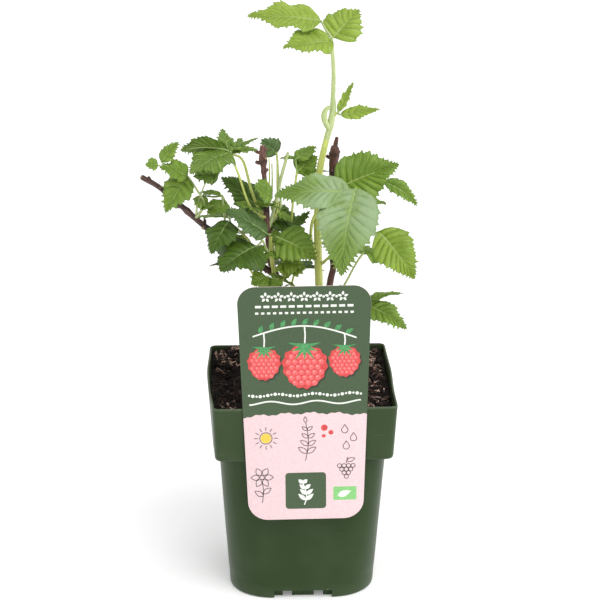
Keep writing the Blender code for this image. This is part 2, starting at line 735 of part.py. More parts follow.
def build_plant(group, cutters):
    stems = {
        "centre_cane": CENTRE_CANE,
        "right_cane": RIGHT_CANE,
        "green_shoot": GREEN_SHOOT,
        "left_cane": LEFT_CANE,
        "side_shoot": SIDE_SHOOT,
    }
    paths = {name: smooth_path(points, 2) for name, points in stems.items()}
    for name, leaf in LEAVES.items():
        if leaf.foot:
            paths[name.replace("leaf", "stalk")] = stalk_path(leaf, paths[leaf.stem])
    rooms = []
    for name, path in paths.items():
        sides = 2 if name in stems else 1
        look = STEM_COLOURS.get(name, "shoot")
        stem = tube(name, path, group, sides=sides)
        if path[0][2] < FOOT_Z:
            cut_level(stem, FOOT_Z)
        add_object(name, stem, group, look)
        room = tube(name, path, cutters, STEM_CLEARANCE, sides)
        rooms.append(add_object(name + "_room", room, cutters))
    for name, leaf in LEAVES.items():
        mass = build_mass(name, leaf, group)
        cut(mass, [room for room in rooms if near(room.data, mass.data)])
        keep_largest(mass.data)
        rooms.append(add_object(name + "_room", fattened(mass.data, MASS_CLEARANCE), cutters))
    for room in rooms:
        room.hide_render = True
        room.display_type = "WIRE"


def main():
    clear_scene()
    parts = collection("raspberry_cane_in_pot")
    cutters = collection("cutters")
    build_pot(parts, cutters)
    build_soil(parts)
    build_label(parts, cutters)
    build_plant(parts, cutters)


main()
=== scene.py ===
"""A raspberry cane in a square nursery pot with a hang label: the looks.

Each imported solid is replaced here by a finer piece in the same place. Sizes are in
millimetres, turned into metres by MM. +Z is up, and the viewer looks along +Y.
"""

import math
import random
from collections import namedtuple
from contextlib import contextmanager

import bpy
import numpy as np
from mathutils import Matrix, Vector, noise


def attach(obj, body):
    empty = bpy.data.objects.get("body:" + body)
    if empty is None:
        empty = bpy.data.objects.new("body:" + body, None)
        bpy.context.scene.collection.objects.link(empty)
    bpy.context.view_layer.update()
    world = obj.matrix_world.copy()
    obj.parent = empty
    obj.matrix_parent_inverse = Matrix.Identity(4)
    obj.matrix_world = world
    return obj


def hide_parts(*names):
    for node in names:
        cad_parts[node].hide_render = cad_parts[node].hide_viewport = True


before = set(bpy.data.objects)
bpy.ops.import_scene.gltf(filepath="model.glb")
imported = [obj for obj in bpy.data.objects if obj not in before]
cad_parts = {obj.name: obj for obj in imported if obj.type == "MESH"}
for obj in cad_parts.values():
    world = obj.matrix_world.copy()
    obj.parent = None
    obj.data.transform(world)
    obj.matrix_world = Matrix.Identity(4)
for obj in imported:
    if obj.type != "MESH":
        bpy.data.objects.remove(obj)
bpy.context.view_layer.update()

MM = 0.001

# Pot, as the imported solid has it
POT_HEIGHT = 150
COLLAR_FOOT = 110
RIM_WIDTH, COLLAR_FOOT_WIDTH = 130, 125
BODY_TOP_WIDTH, BODY_FOOT_WIDTH = 117, 103
RIM_RADIUS, COLLAR_RADIUS = 5, 6
BODY_TOP_RADIUS, BODY_FOOT_RADIUS = 19, 31
COLLAR_SLOPE = (RIM_WIDTH - COLLAR_FOOT_WIDTH) / 2 / (POT_HEIGHT - COLLAR_FOOT)
WALL = 1.5
FLOOR_TOP = 8
FOOT_HEIGHT = 6
NOTCH_WIDTH, NOTCH_DEPTH = 41, 5
CHANNEL_WIDTH, CHANNEL_PITCH = 6.6, 22.2
DRAIN_RADIUS = 3.5
NOTCH_BAR, CHANNEL_BAR = 30, 200  # lengths of the bars that cut the notches and the channels
WALL_BOW, CORNER_DENT = 2.4, 1.7  # how far the left wall bows out, and its front corner is pushed in
QUARTER_COLUMNS = 28  # columns of faces round a quarter of the pot, closer together at its corner
# The pot's green, and the paler colour of its scratches and specks, which also paints the highlights on its
# edges.
POT_GREEN, POT_WEAR_AND_HIGHLIGHT = (38, 59, 24), (132, 142, 118)

# Soil
SOIL_LEVEL = 144
SOIL_EDGE_DROP = 2.5
SOIL_GAP = 0.3  # between the soil and the pot
WALL_MARGIN, CANE_MARGIN = 2.5, 4  # kept free of crumbs along the wall and round the canes' feet
CALM_RADIUS, CALM_FADE = 23, 12
HOLLOW_CENTRE, HOLLOW_RADIUS, HOLLOW_DEPTH = (-50, 22), 16, 7
RIDGE_CENTRE, RIDGE_RADIUS, RIDGE_HEIGHT = (-44, 52), 14, 5
BACK_RISE = 3.6  # how far the soil climbs towards the pot's back wall
SOIL_CELLS = 130
CRUMBS, FINE_CRUMBS, FLECKS, HEAPED, FIBRES, CHIPS = 520, 1700, 640, 46, 900, 170
HEAPS = ((-42, 57), (-37, 59), (46, 59))

# Label
LABEL_THICKNESS = 0.8
LABEL_TOP, LABEL_FOOT = 238, 68
LABEL_TOP_WIDTH, LABEL_FOOT_WIDTH = 90, 80
LABEL_TOP_ROUND, LABEL_FOOT_ROUND = 12, 14
LABEL_TILT, LABEL_SIDE = 0.5, 1.4
STRAP_WIDTH, HOOK_DEPTH = 24, 6.5
LABEL_GAP = 0.3

# Canes and shoots: points (x, y, z, radius)
FOOT_Z = 144.3
LEFT_CANE_ROOT = (-19.5, -0.5, 226, 2.0)  # inside the centre cane
STEMS = {
    "centre_cane": [
        (-5, 6, FOOT_Z - 2, 4.4), (-5, 6, FOOT_Z + 3, 3.2), (-7.5, 5.5, 158, 2.6), (-16, 2, 218, 2.4),
        (-20, 0, 233, 2.3), (-23, 0, 262, 2.1), (-24, 0, 281, 1.8), (-25, 0, 297, 1.6),
        (-25.4, 0, 303, 1.8), (-25.7, 0, 307, 2.4), (-26, 0, 312, 2.2), (-26, 0, 318, 1.7)],
    "right_cane": [
        (11, 9, FOOT_Z - 2, 4.4), (11, 9, FOOT_Z + 3, 3.2), (13, 9.3, 158, 2.6), (21, 10, 214, 2.4),
        (23.5, 10, 229, 2.3), (23, 10, 262, 2.3), (23, 10, 295, 2.5), (24, 10, 312, 2.6),
        (24.5, 10, 315, 1.1), (25.5, 10, 321, 0.7)],
    "green_shoot": [
        (15, -3, FOOT_Z - 2, 3.9), (15, -3, FOOT_Z + 3, 3.2), (14.5, -2.5, 158, 2.9), (13, -1, 214, 2.8),
        (12, 0, 250, 2.7), (12, 0, 272, 2.6), (13, 0, 297, 2.4), (16, 0, 314, 2.1), (20, 0, 331, 1.9),
        (21.5, 0, 341, 1.7), (22.5, 0, 366, 1.4), (21.5, 0, 383, 1.3), (21, 0, 390, 1.2)],
    "left_cane": [
        (-23.8, -1.5, 229.5, 2.3), (-42, -1.5, 242, 2.2), (-66, -2, 261, 2.0), (-94, -8, 289, 1.8),
        (-109, -12, 300, 1.7)],
    "side_shoot": [
        (-19.5, -4.1, 232, 1.5), (-20, -8, 238, 1.5), (-21, -9.5, 248, 1.4), (-21, -11, 256, 1.2)],
}
# Woody canes' nodes: height, half the length of its scar, how dark the scar is
NODES = {
    "centre_cane": [(176, 1.5, 0.5), (206, 1.5, 0.5), (221, 4.0, 1.0), (250, 1.4, 0.5), (276, 5.0, 1.0),
                    (300, 1.2, 0.35), (307, 1.6, 0.6)],
    "right_cane": [(172, 1.5, 0.5), (202, 1.6, 0.6), (232, 1.8, 0.6), (262, 1.6, 0.5), (297, 3.0, 0.8),
                   (309, 1.6, 0.5)],
    "left_cane": [(236, 3.0, 0.8), (249, 1.6, 0.6), (262, 2.0, 0.9), (277, 1.5, 0.5), (291, 1.6, 0.6)],
}
# Where a woody cane swells into its cut head: from this height up, by this much
HEADS = {"centre_cane": (302, 0.15), "right_cane": (298, 0.5), "left_cane": (296, 0.1)}
# Short dead stubs on a cane: height, heading, length, radius
STUBS = {
    "centre_cane": [(306, 175, 3.0, 1.3), (309, -60, 2.0, 1.1), (313, 165, 3.6, 1.1), (315, 10, 1.8, 0.8)],
    "right_cane": [(244, -165, 9.0, 0.6), (306, 160, 3.0, 1.2)],
    "left_cane": [(283, -80, 3.0, 1.0), (296, 70, 3.5, 0.9), (262, -100, 3.5, 1.1), (254, 80, 3.0, 1.0)],
}
# Thin green stems that carry no packed leaf: points (x, y, z, radius)
TWIGS = {
    "inner": [(-24.6, 1, 271, 1.0), (-20.5, 3, 279, 0.7), (-19.4, 2.4, 290, 0.6), (-19.6, 2, 305, 0.4)],
    "near": [(-24.8, 1, 282, 0.8), (-21.6, 1.8, 290, 0.55), (-21.3, 1.2, 300, 0.5), (-21.6, 1, 309, 0.35)],
    "back": [(-22.6, 0.5, 262, 1.0), (-16, 4, 270, 0.7), (-16, 4, 291, 0.6), (-16, 6, 312, 0.4)],
    "thick": [
        (-22.4, 0, 258, 1.3), (-19, -1, 270, 1.25), (-15.8, -1, 284, 1.2), (-13.6, -2, 295, 1.15),
        (-8.7, -4, 314, 1.1)],
    "pale": [
        (-24, 0, 262, 1.2), (-30, 3.6, 274.5, 1.0), (-34.1, 4, 286, 0.95), (-39.5, 2, 306.7, 0.9),
        (-47, -10, 315, 0.75)],
    "low": [(-15.4, 2, 213, 1.6), (-17.2, -1.6, 219, 1.5), (-19.9, -4.6, 236, 1.5), (-20.6, -8, 251, 1.3)],
    "left": [(-72, -5.6, 271, 0.9), (-71, -6, 278, 0.6), (-65, -6, 294, 0.45), (-57, -10, 303, 0.35)],
    "loop": [
        (13, -1, 233, 1.2), (9.2, -2.6, 243.3, 1.15), (7.2, -3, 252.4, 1.1), (7.5, -3, 261, 1.1),
        (9.3, -2, 267.2, 1.1), (12.3, -0.6, 271, 1.0)],
    "node": [(20.6, 0, 337, 1.3), (23, -1.6, 339.4, 1.0), (25, -3, 341, 0.8)],
    "top": [(21, 0, 388, 1.15), (20.8, 0.4, 392.5, 0.9), (17, 3, 398, 0.6), (14, 6, 403, 0.5)],
}
PALE_FROM = 0.81  # the share of the green shoot's length above which its skin is pale
PRICKLES, PRICKLE_HEIGHTS = 170, (150, 376)
PEELINGS, PEELING_HEIGHTS = 14, (160, 304)
STALK_RADIUS = 0.85
STALK_GAP = 0.3  # between a stalk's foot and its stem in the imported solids

# A leaf: its stem, the height where its stalk leaves the stem, its hub, its tint and its leaflets.
# A leaf with no height sits on the stem's own end.
Leaf = namedtuple("Leaf", "stem foot hub tint leaflets")
# A leaflet: from the hub to the blade's base, then heading (0 to the right, 90 away from the viewer)
Leaflet = namedtuple("Leaflet", "x y z heading rise length width roll droop")
LEAF_ROWS = {
    "top": ("green_shoot", None, (21, 0, 392), "bright", [
        (-7, 6, 11, -169, 6, 51, 28, -32, 12), (1, 1, 0, 35, 37, 28, 29, 34, 10),
        (0, -2, -2, -152, -1, 38, 27, -32, 20)]),
    "node": ("green_shoot", None, (25, -3, 341), "bright", [
        (0, 0, 1, -16, 63, 24, 7, 60, -10), (2, 0, -1, -15, 11, 28, 9, 60, 0)]),
    "upper_right": ("green_shoot", 274, (24, -16, 288), "mid", [
        (0, 0, 3, 3, 21, 46, 35, 55, 12), (34, 24, 1, -14, -34, 29, 12, 40, 45)]),
    "front": ("green_shoot", 259, (34, -33, 293), "pale", [
        (-2, 0, 0, 172, -4, 52, 26, -45, 22), (2, 1, 3, -112, -61, 62, 44, 8, 36)]),
    "right_low": ("green_shoot", 234, (51, -30, 264), "fresh", [(1, 0, 1, -30, -48, 41, 28, 45, 15)]),
    "low_right": ("right_cane", 180, (45, -10, 207), "mid", [
        (0, 0, 0, 20, 7, 29, 13, -12, 28), (0, 0, -1, -30, -23, 35, 21, 22, 22)]),
    "upper_left": ("centre_cane", 268, (-49, -14, 317), "rayed", [
        (-1, 0, 2, 163, -5, 34, 20, 60, 30), (0, -1, 0, -144, -16, 34, 36, -8, 25),
        (0, 1, 0, 109, 44, 19, 13, 20, 10), (1, 0, 0, 36, 39, 13, 17, 0, 10),
        (1, 1, 0, 35, 16, 24, 8, 0, 10), (1, 1, 0, -9, 6, 19, 9, 20, 25),
        (-7, 3, -15, -172, -6, 18, 17, -42, 12)]),
    "left_tip": ("left_cane", 268, (-77, -14, 300), "mid", [
        (0, -1, 0, -145, -49, 29, 23, -20, 20), (0, -1, 1, -166, 21, 21, 16, -45, 20),
        (-18, -4, 12, 10, 48, 18, 10, 60, 5), (-20, -4, 10, -167, 4, 9, 9, -50, 5)]),
    "left_mid": ("centre_cane", 256, (-26, 10, 268), "deep", [(0, 0, 0, 172, 40, 38, 23, -40, 10)]),
    "left_inner": ("left_cane", 254, (-54, 2, 282), "mid", [
        (4, 0, -6, -145, -13, 18, 17, -20, 20), (-1, 0, 1, 158, 0, 16, 8, -10, 20),
        (-13, 2, 0, -129, -47, 11, 12, 0, 10)]),
    "centre_left": ("side_shoot", None, (-21, -12, 258), "blue", [(-2, -2, 1, -165, 33, 36, 24, -42, 15)]),
    "low_left": ("left_cane", 240, (-48, -12, 266), "deep", [(-2, 0, 2, -130, -46, 27, 27, -5, 20)]),
    "low_front": ("side_shoot", 244, (-27, -22, 257), "deep", [(-4, 0, -4, -146, -23, 33, 45, -16, 25)]),
    "centre_right": ("side_shoot", 250, (-17, -11, 256), "mid", [(0, 0, 0, -27, -22, 33, 27, 38, 20)]),
    "centre_back": ("centre_cane", 252, (-18, 10, 265), "deep", [
        (-3, -4, -2, 8, -10, 23, 21, 38, 20), (15, 0, -7, 11, 43, 14, 6, 60, 0)]),
    "small_right": ("centre_cane", 220, (-13, -8, 237), "fresh", [
        (1, 0, 0, -24, -4, 15, 17, 45, 10), (0, 0, 0, -57, -52, 12, 12, 20, 10),
        (-1, 0, 1, 18, 24, 7, 9, 40, 10), (5, -2, -6, -5, 14, 12, 11, 52, 8)]),
    "small_left": ("centre_cane", 212, (-24, -10, 227), "mid", [
        (0, 0, 0, -150, -17, 13, 16, -40, 10), (1, 0, -1, -56, -55, 8, 16, 0, 10),
        (8, -2, -1, -125, -42, 10, 11, 8, 10)]),
    "cane": ("centre_cane", 276, (-22, -8, 286), "mid", [(2.5, -1, -1, -151, 31, 17, 19, -50, 10)]),
    "cane_top": ("centre_cane", 262, (-16, 10, 309), "blue", [(0, 0, 0, 170, 43, 15, 17, -45, 15)]),
    "centre_top": ("centre_cane", 240, (-2, 12, 296), "mid", [
        (0, 0, 0, 15, 34, 18, 20, 50, 10), (-1, 0, 9, 28, 23, 18, 13, 25, 5),
        (-1, 0, 10, -170, 0, 11, 10, 10, 5), (2, 0, -1, 11, 0, 21, 8, 0, 15)]),
    "back_left": ("left_cane", 247, (-50, 20, 262), "mid", [
        (0, 0, 0, 95, -15, 34, 27, 0, 25), (0, 0, 0, 145, -12, 26, 21, 0, 20),
        (0, 0, 0, 45, -12, 24, 19, 0, 20)]),
    "back_centre": ("centre_cane", 231, (-20, 26, 250), "deep", [
        (0, 0, 0, 85, -12, 36, 28, 0, 25), (0, 0, 0, 140, -15, 30, 23, 0, 20),
        (0, 0, 0, 25, -15, 28, 21, 0, 20)]),
    "back_right": ("right_cane", 250, (35, 30, 270), "mid", [
        (0, 0, 0, 80, -12, 38, 30, 0, 25), (0, 0, 0, 140, -12, 28, 22, 0, 20),
        (0, 0, 0, 20, -12, 30, 22, 0, 20)]),
    "back_low": ("centre_cane", 196, (-2, 28, 222), "deep", [
        (0, 0, 0, 95, -20, 34, 27, 0, 25), (0, 0, 0, 150, -18, 27, 21, 0, 20),
        (0, 0, 0, 40, -18, 27, 21, 0, 20)]),
    "back_low_right": ("right_cane", 206, (45, 14, 236), "mid", [
        (0, 0, 0, 60, -15, 32, 26, 0, 25), (0, 0, 0, 120, -15, 26, 20, 0, 20),
        (0, 0, 0, 0, -18, 26, 19, 0, 20)]),
    "back_low_left": ("centre_cane", 188, (-40, 24, 230), "deep", [
        (0, 0, 0, 110, -18, 32, 26, 0, 25), (0, 0, 0, 165, -18, 26, 20, 0, 20),
        (0, 0, 0, 50, -18, 26, 20, 0, 20)]),
}
LEAVES = {name: Leaf(*leaf[:4], [Leaflet(*row) for row in leaf[4]]) for name, leaf in LEAF_ROWS.items()}

# Leaf tints: blade, its deeper patches (also the painted shade on the tipward side of each panel between side
# veins), its midrib and its side veins, as screen colours 0 to 255
LEAF_TINTS = {
    "bright": ((148, 174, 56), (112, 142, 34), (190, 206, 128), (184, 202, 112)),
    "fresh": ((136, 162, 50), (100, 132, 30), (180, 198, 118), (158, 182, 84)),
    "mid": ((120, 150, 46), (84, 118, 28), (172, 190, 110), (140, 168, 72)),
    "deep": ((72, 102, 16), (46, 74, 10), (132, 156, 78), (96, 124, 42)),
    "blue": ((84, 114, 54), (54, 82, 32), (142, 164, 112), (122, 148, 92)),
    "pale": ((122, 152, 52), (98, 130, 40), (152, 178, 106), (158, 182, 128)),
    "rayed": ((106, 138, 42), (74, 106, 26), (182, 198, 136), (164, 186, 106)),
}
UNDERSIDE_TINTS = ((146, 166, 106), (128, 150, 88), (180, 194, 140), (168, 186, 128))
PAINTED_SHEEN = (0.33, 0.45, 0.25, 1)  # a whitish painted sheen near a leaflet's base, where the blade lies flat to the light, a linear colour
# Leaves whose stalks the photo shows bare, and the tints of the young leaves on the others
BARE_STALKS = ("front", "right_low", "low_right", "upper_right")
YOUNG_TINTS = ("bright", "mid")

VEIN_SPACING = 3.9
ROWS_PER_VEIN = 6
HALF_COLUMNS = 8
VEIN_SLANT = 0.27  # how far a side vein runs towards the tip, as a share of the blade's length
TEETH = (1.0, -0.45, -0.1, 0.35, 0.0, 0.55)  # from one side vein's end to the next
TOOTH_DEPTH = 0.48  # as a share of the side veins' spacing
TOOTH_LEAN = 0.8  # how many rows of faces a full tooth leans towards the tip
LOBE_DEPTH = 0.6  # how far the outline strays between teeth, as a share of the spacing
QUILT = 0.27  # how far the blade swells between its veins, as a share of their spacing
CRUMPLE = 1.7  # how far a blade 25 mm wide strays from its curve
BLADE_THICKNESS = 0.3
RIB_MARKS = np.array([0, 0.12, 0.3, 0.5, 0.7, 0.88])
SPINE_MARKS = np.linspace(0, 1, 41)


def colour(red, green, blue):
    """A screen colour, 0 to 255, as the linear colour that shaders use."""
    shares = [value / 255 for value in (red, green, blue)]
    return (*(s / 12.92 if s <= 0.04045 else ((s + 0.055) / 1.055) ** 2.4 for s in shares), 1)


# Modelling helpers


def select_only(*pieces):
    if bpy.context.mode != "OBJECT":
        bpy.ops.object.mode_set(mode="OBJECT")
    bpy.ops.object.select_all(action="DESELECT")
    for piece in pieces:
        piece.select_set(True)
    if pieces:
        bpy.context.view_layer.objects.active = pieces[0]


@contextmanager
def editing(piece, action="SELECT"):
    """Edit mode on a piece, with its points selected or not, or as they were."""
    select_only(piece)
    bpy.ops.object.mode_set(mode="EDIT")
    if action:
        bpy.ops.mesh.select_all(action=action)
    yield
    bpy.ops.object.mode_set(mode="OBJECT")


def face_outwards():
    bpy.ops.mesh.select_all(action="SELECT")
    bpy.ops.mesh.normals_make_consistent(inside=False)


def modify(piece, kind, **settings):
    """Adds a modifier and applies it."""
    made = piece.modifiers.new(kind.lower(), kind)
    for key, value in settings.items():
        setattr(made, key, value)
    select_only(piece)
    bpy.ops.object.modifier_apply(modifier=made.name)


def read(rows, name, width, kind=float):
    values = np.empty(len(rows) * width, kind)
    rows.foreach_get(name, values)
    return values.reshape(-1, width)


def formed_grid(name, columns, rows, place):
    """A grid primitive whose points are moved to place(across, along), both from 0 to 1."""
    select_only()
    bpy.ops.mesh.primitive_grid_add(x_subdivisions=columns, y_subdivisions=rows, size=2)
    piece = bpy.context.object
    piece.name = piece.data.name = name
    places = read(piece.data.vertices, "co", 3)
    formed = place((places[:, 0] + 1) / 2, (places[:, 1] + 1) / 2)
    piece.data.vertices.foreach_set("co", (formed * MM).ravel())
    piece.data.update()
    return piece


def stretch_map(piece, length):
    """Makes the UV map run from 0 to length along the grid's rows, and from 0 to 1 across."""
    layer = piece.data.uv_layers.active.uv
    places = read(layer, "vector", 2, np.float32)
    places[:, 1] = places[:, 1] * length
    layer.foreach_set("vector", places.ravel())


def seal(piece, reach=0.0005):
    """Merges a rolled grid's seam, closes its ends and turns its faces outwards."""
    with editing(piece):
        bpy.ops.mesh.remove_doubles(threshold=reach * MM)
        bpy.ops.mesh.fill_holes(sides=0)
        face_outwards()


def join(name, pieces):
    select_only(*pieces)
    if len(pieces) > 1:
        bpy.ops.object.join()
    piece = bpy.context.view_layer.objects.active
    piece.name = piece.data.name = name
    return piece


def dress(piece, *finishes):
    piece.data.materials.clear()
    for finish in finishes:
        piece.data.materials.append(finish)
    return piece


def hand_over(piece, nodes=(), smooth=40):
    """Settles a finished piece: its place in its mesh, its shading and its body."""
    select_only(piece)
    bpy.ops.object.transform_apply(location=True, rotation=True, scale=True)
    bpy.ops.object.shade_smooth_by_angle(angle=math.radians(smooth))
    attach(piece, "root")
    if nodes:
        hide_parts(*nodes)
    return piece


def rough(places, size, seed=0.0):
    """Smooth noise from -1 to 1 at each place, with lumps about as wide as size."""
    return np.array([noise.noise(Vector(p) / size + Vector((seed, seed, seed))) for p in places])


def mesh_piece(name, places, faces):
    mesh = bpy.data.meshes.new(name)
    mesh.from_pydata(places, [], faces)
    mesh.update()
    piece = bpy.data.objects.new(name, mesh)
    bpy.context.collection.objects.link(piece)
    return piece


def scattered(name, shape, placings):
    """One mesh of many copies of a small shape. placings are (matrix, jitter) pairs."""
    places, faces = [], []
    for matrix, jitter in placings:
        start = len(places)
        for index, place in enumerate(shape[0]):
            places.append(matrix @ (Vector(place) * (1 + jitter[index % len(jitter)])))
        faces += [tuple(start + corner for corner in face) for face in shape[1]]
    return mesh_piece(name, [tuple(place * MM) for place in places], faces)


def primitive_shape(add, **settings):
    """The places and faces of a primitive, for scattered()."""
    select_only()
    add(**settings)
    made = bpy.context.object
    shape = [tuple(v.co) for v in made.data.vertices], [tuple(face.vertices) for face in made.data.polygons]
    bpy.data.objects.remove(made, do_unlink=True)
    return shape


# Shaders


class Flow:
    """A socket's value in a shader tree. Sums written with it make Math nodes."""

    def __init__(self, tree, socket):
        self.tree, self.socket = tree, socket

    def into(self, kind, inputs, outlet=0, **settings):
        """The value of a new node. inputs go by name or number to a Flow or a constant."""
        return new_node(self.tree, kind, inputs, outlet, **settings)

    def maths(self, operation, other=None, clamp=False):
        inputs = {0: self} if other is None else {0: self, 1: other}
        return self.into("Math", inputs, operation=operation, use_clamp=clamp)

    def __add__(self, other):
        return self.maths("ADD", other)

    def __sub__(self, other):
        return self.maths("SUBTRACT", other)

    def __mul__(self, other):
        return self.maths("MULTIPLY", other)

    def __abs__(self):
        return self.maths("ABSOLUTE")

    def most(self, other):
        return self.maths("MAXIMUM", other)

    def kept(self):
        """The value, kept from 0 to 1."""
        return self.maths("ADD", 0.0, clamp=True)

    def remap(self, low, high, to_low=0.0, to_high=1.0):
        """The stretch from low to high, turned smoothly into one from to_low to to_high."""
        inputs = dict(enumerate((self, low, high, to_low, to_high)))
        return self.into("MapRange", inputs, interpolation_type="SMOOTHSTEP")

    def grain(self, scale, detail=3.0, roughness=0.55):
        inputs = {"Vector": self, "Scale": scale, "Detail": detail, "Roughness": roughness}
        return self.into("TexNoise", inputs)

    def blend(self, first, second):
        """The colour that is this share of the way from first to second."""
        return self.into("Mix", {0: self, 6: first, 7: second}, 2, data_type="RGBA")

    def part(self, axis):
        return self.into("SeparateXYZ", {0: self}, axis)

    def stretched(self, scale, turn=(0, 0, 0)):
        return self.into("Mapping", {"Vector": self, "Scale": scale, "Rotation": turn})


def new_node(tree, kind, inputs, outlet=0, **settings):
    made = tree.nodes.new("ShaderNode" + kind)
    for key, value in settings.items():
        setattr(made, key, value)
    for key, value in inputs.items():
        if isinstance(value, Flow):
            tree.links.new(value.socket, made.inputs[key])
        else:
            made.inputs[key].default_value = value
    return Flow(tree, made.outputs[outlet])


def uv_places(tree):
    return new_node(tree, "UVMap", {}, uv_map="UVMap")


def object_places(tree):
    return new_node(tree, "TexCoord", {}, "Object")


def effect(name, inputs, build):
    """A shader node group. build(tree, given) returns its colour, roughness and height."""
    tree = bpy.data.node_groups.new(name, "ShaderNodeTree")
    ends = {"Colour": "Color", "Roughness": "Float", "Height": "Float"}
    for label, value in inputs.items():
        kind = "Color" if isinstance(value, tuple) else "Float"
        socket = tree.interface.new_socket(label, in_out="INPUT", socket_type="NodeSocket" + kind)
        socket.default_value = value
    for label, kind in ends.items():
        tree.interface.new_socket(label, in_out="OUTPUT", socket_type="NodeSocket" + kind)
    start = tree.nodes.new("NodeGroupInput")
    end = tree.nodes.new("NodeGroupOutput")
    made = build(tree, {label: Flow(tree, start.outputs[label]) for label in inputs})
    for label, value in zip(ends, made):
        tree.links.new(value.socket, end.inputs[label])
    return tree


def leaf_pattern(tree, given):
    """Veins, painted shade on one side of each panel between side veins, a painted sheen near the base and
    mottling, on a UV map of across the blade and veins along it.
    """
    on_blade = uv_places(tree)
    places = object_places(tree)
    vein_count = on_blade.part(1)
    side = abs(on_blade.part(0) * 2 - 1)
    along = vein_count.maths("FRACT")
    midrib = side.remap(0.07, 0.02)
    side_vein = (abs(along - 0.5) - side * -0.03).remap(0.4, 0.5) * side.remap(1.0, 0.8, 0.3, 1)
    net = {"Vector": on_blade.stretched((9, 3, 1)), "Scale": 1}
    meshes = new_node(tree, "TexVoronoi", net, feature="DISTANCE_TO_EDGE").remap(0.1, 0.0)
    cloud = places.grain(60, 3).remap(0.36, 0.68)
    # Painted shade: each panel between side veins is darker just tipward of its vein, fading towards the
    # next, as quilting shows under side light.
    painted_panel_shade = along.remap(0.8, 0.1) * 0.75
    blade = (cloud * 0.7).most(painted_panel_shade).blend(given["Blade"], given["Deep"])
    blade = (meshes * 0.25).blend(blade, given["Side Veins"])
    # Painted sheen: a whitish glint towards the leaflet's base, where the blade lies flat to the light.
    sheen_near_base = vein_count.remap(8.0, 2.5) * given["Painted Sheen"]
    blade = (sheen_near_base * places.grain(45, 3).remap(0.25, 0.5)).blend(blade, PAINTED_SHEEN)
    blade = (side_vein * given["Vein Strength"]).blend(blade, given["Side Veins"])
    blade = (midrib * 0.75).blend(blade, given["Midrib"])
    fine = places.grain(900, 2)
    shine = (given["Shine"] + (fine - 0.5) * 0.25).kept()
    edge = side.remap(0.92, 1.0) * 0.4
    return edge.blend(blade, given["Deep"]), shine, fine * 0.3 - meshes * 0.5 - side_vein * 0.8


def stem_pattern(tree, given):
    """Long streaks along a stem, on a UV map of turns round it and centimetres along it."""
    on_stem = uv_places(tree)
    turn = on_stem.part(0) * math.tau
    streaks = [turn.maths(way) * given["Streaks"] for way in ("COSINE", "SINE")]
    round_it = new_node(tree, "CombineXYZ", {0: streaks[0], 1: streaks[1], 2: on_stem.part(1)})
    mix = round_it.grain(1.4, 5, 0.65) * 0.75 + object_places(tree).grain(700, 3) * 0.25
    scar, cut_end = (new_node(tree, "Attribute", {}, "Fac", attribute_name=name)
                     for name in ("scar", "cut_end"))
    streaked = mix.remap(0.38, 0.62).blend(given["Dark"], given["Light"])
    scarred = scar.blend(streaked, given["Scar"])
    return cut_end.blend(scarred, given["Cut"]), (given["Shine"] - (mix - 0.5) * 0.5).kept(), mix


def speckle_pattern(tree, given):
    """Two colours mixed by uneven grain, for soil, card, prickles and floor."""
    noisy = object_places(tree).grain(given["Grain"], 5, 0.6)
    share = noisy.remap(0.35, 0.65)
    shine = (given["Shine"] + (share - 0.5) * given["Unevenness"]).kept()
    return share.blend(given["Dark"], given["Light"]), shine, noisy


def plastic_pattern(tree, given):
    """Moulded plastic with faint clouds, fine scratches and specks, painted highlights on the rim, the
    collar's lower edge and near the foot, and a collar painted lighter than the body.
    """
    places = object_places(tree)
    height = places.part(2) * (1 / MM)
    cloud = places.grain(25, 4)
    # Painted highlights: a light line on the rim's lip and on the collar's lower edge, and a lighter band
    # near the foot.
    rim = height.remap(POT_HEIGHT - 2.2, POT_HEIGHT - 0.4) * 0.3
    foot = height.remap(14, 2) * 0.1
    step = abs(height - (COLLAR_FOOT + 0.8)).remap(1.2, 0.2) * 0.05
    edge_highlights = rim.most(step).most(foot) * (places.grain(160, 5) * 1.3)
    drift = new_node(tree, "TexNoise", {"Vector": places, "Scale": 14}, "Color")
    shrunk = new_node(tree, "VectorMath", {0: drift, "Scale": 0.03}, operation="SCALE")
    bent = new_node(tree, "VectorMath", {0: places, 1: shrunk}, operation="ADD")
    lines = bent.stretched((40, 40, 900), (0.35, 0.5, 0)).grain(1, 1).remap(0.74, 0.8)
    lines = lines * places.grain(40, 2).remap(0.55, 0.7)
    dots = new_node(tree, "TexVoronoi", {"Vector": places, "Scale": 210}).remap(0.14, 0.07)
    dots = dots * places.grain(50, 3).remap(0.58, 0.7)
    # Faint clouds of dust, and the collar painted a little lighter than the body, which stands in shade.
    dust_and_collar_light = cloud.remap(0.4, 0.75) * 0.05 + height.remap(COLLAR_FOOT - 0.5, COLLAR_FOOT + 0.5) * 0.05
    wear_and_highlights = (edge_highlights.most((lines * 0.5).most(dots * 0.45)) + dust_and_collar_light).kept()
    shine = (given["Shine"] + (cloud - 0.5) * 0.2 + wear_and_highlights * 0.3).kept()
    return wear_and_highlights.blend(given["Body"], given["Wear And Highlight"]), shine, places.grain(1400, 2) * 0.25 - lines * 0.6


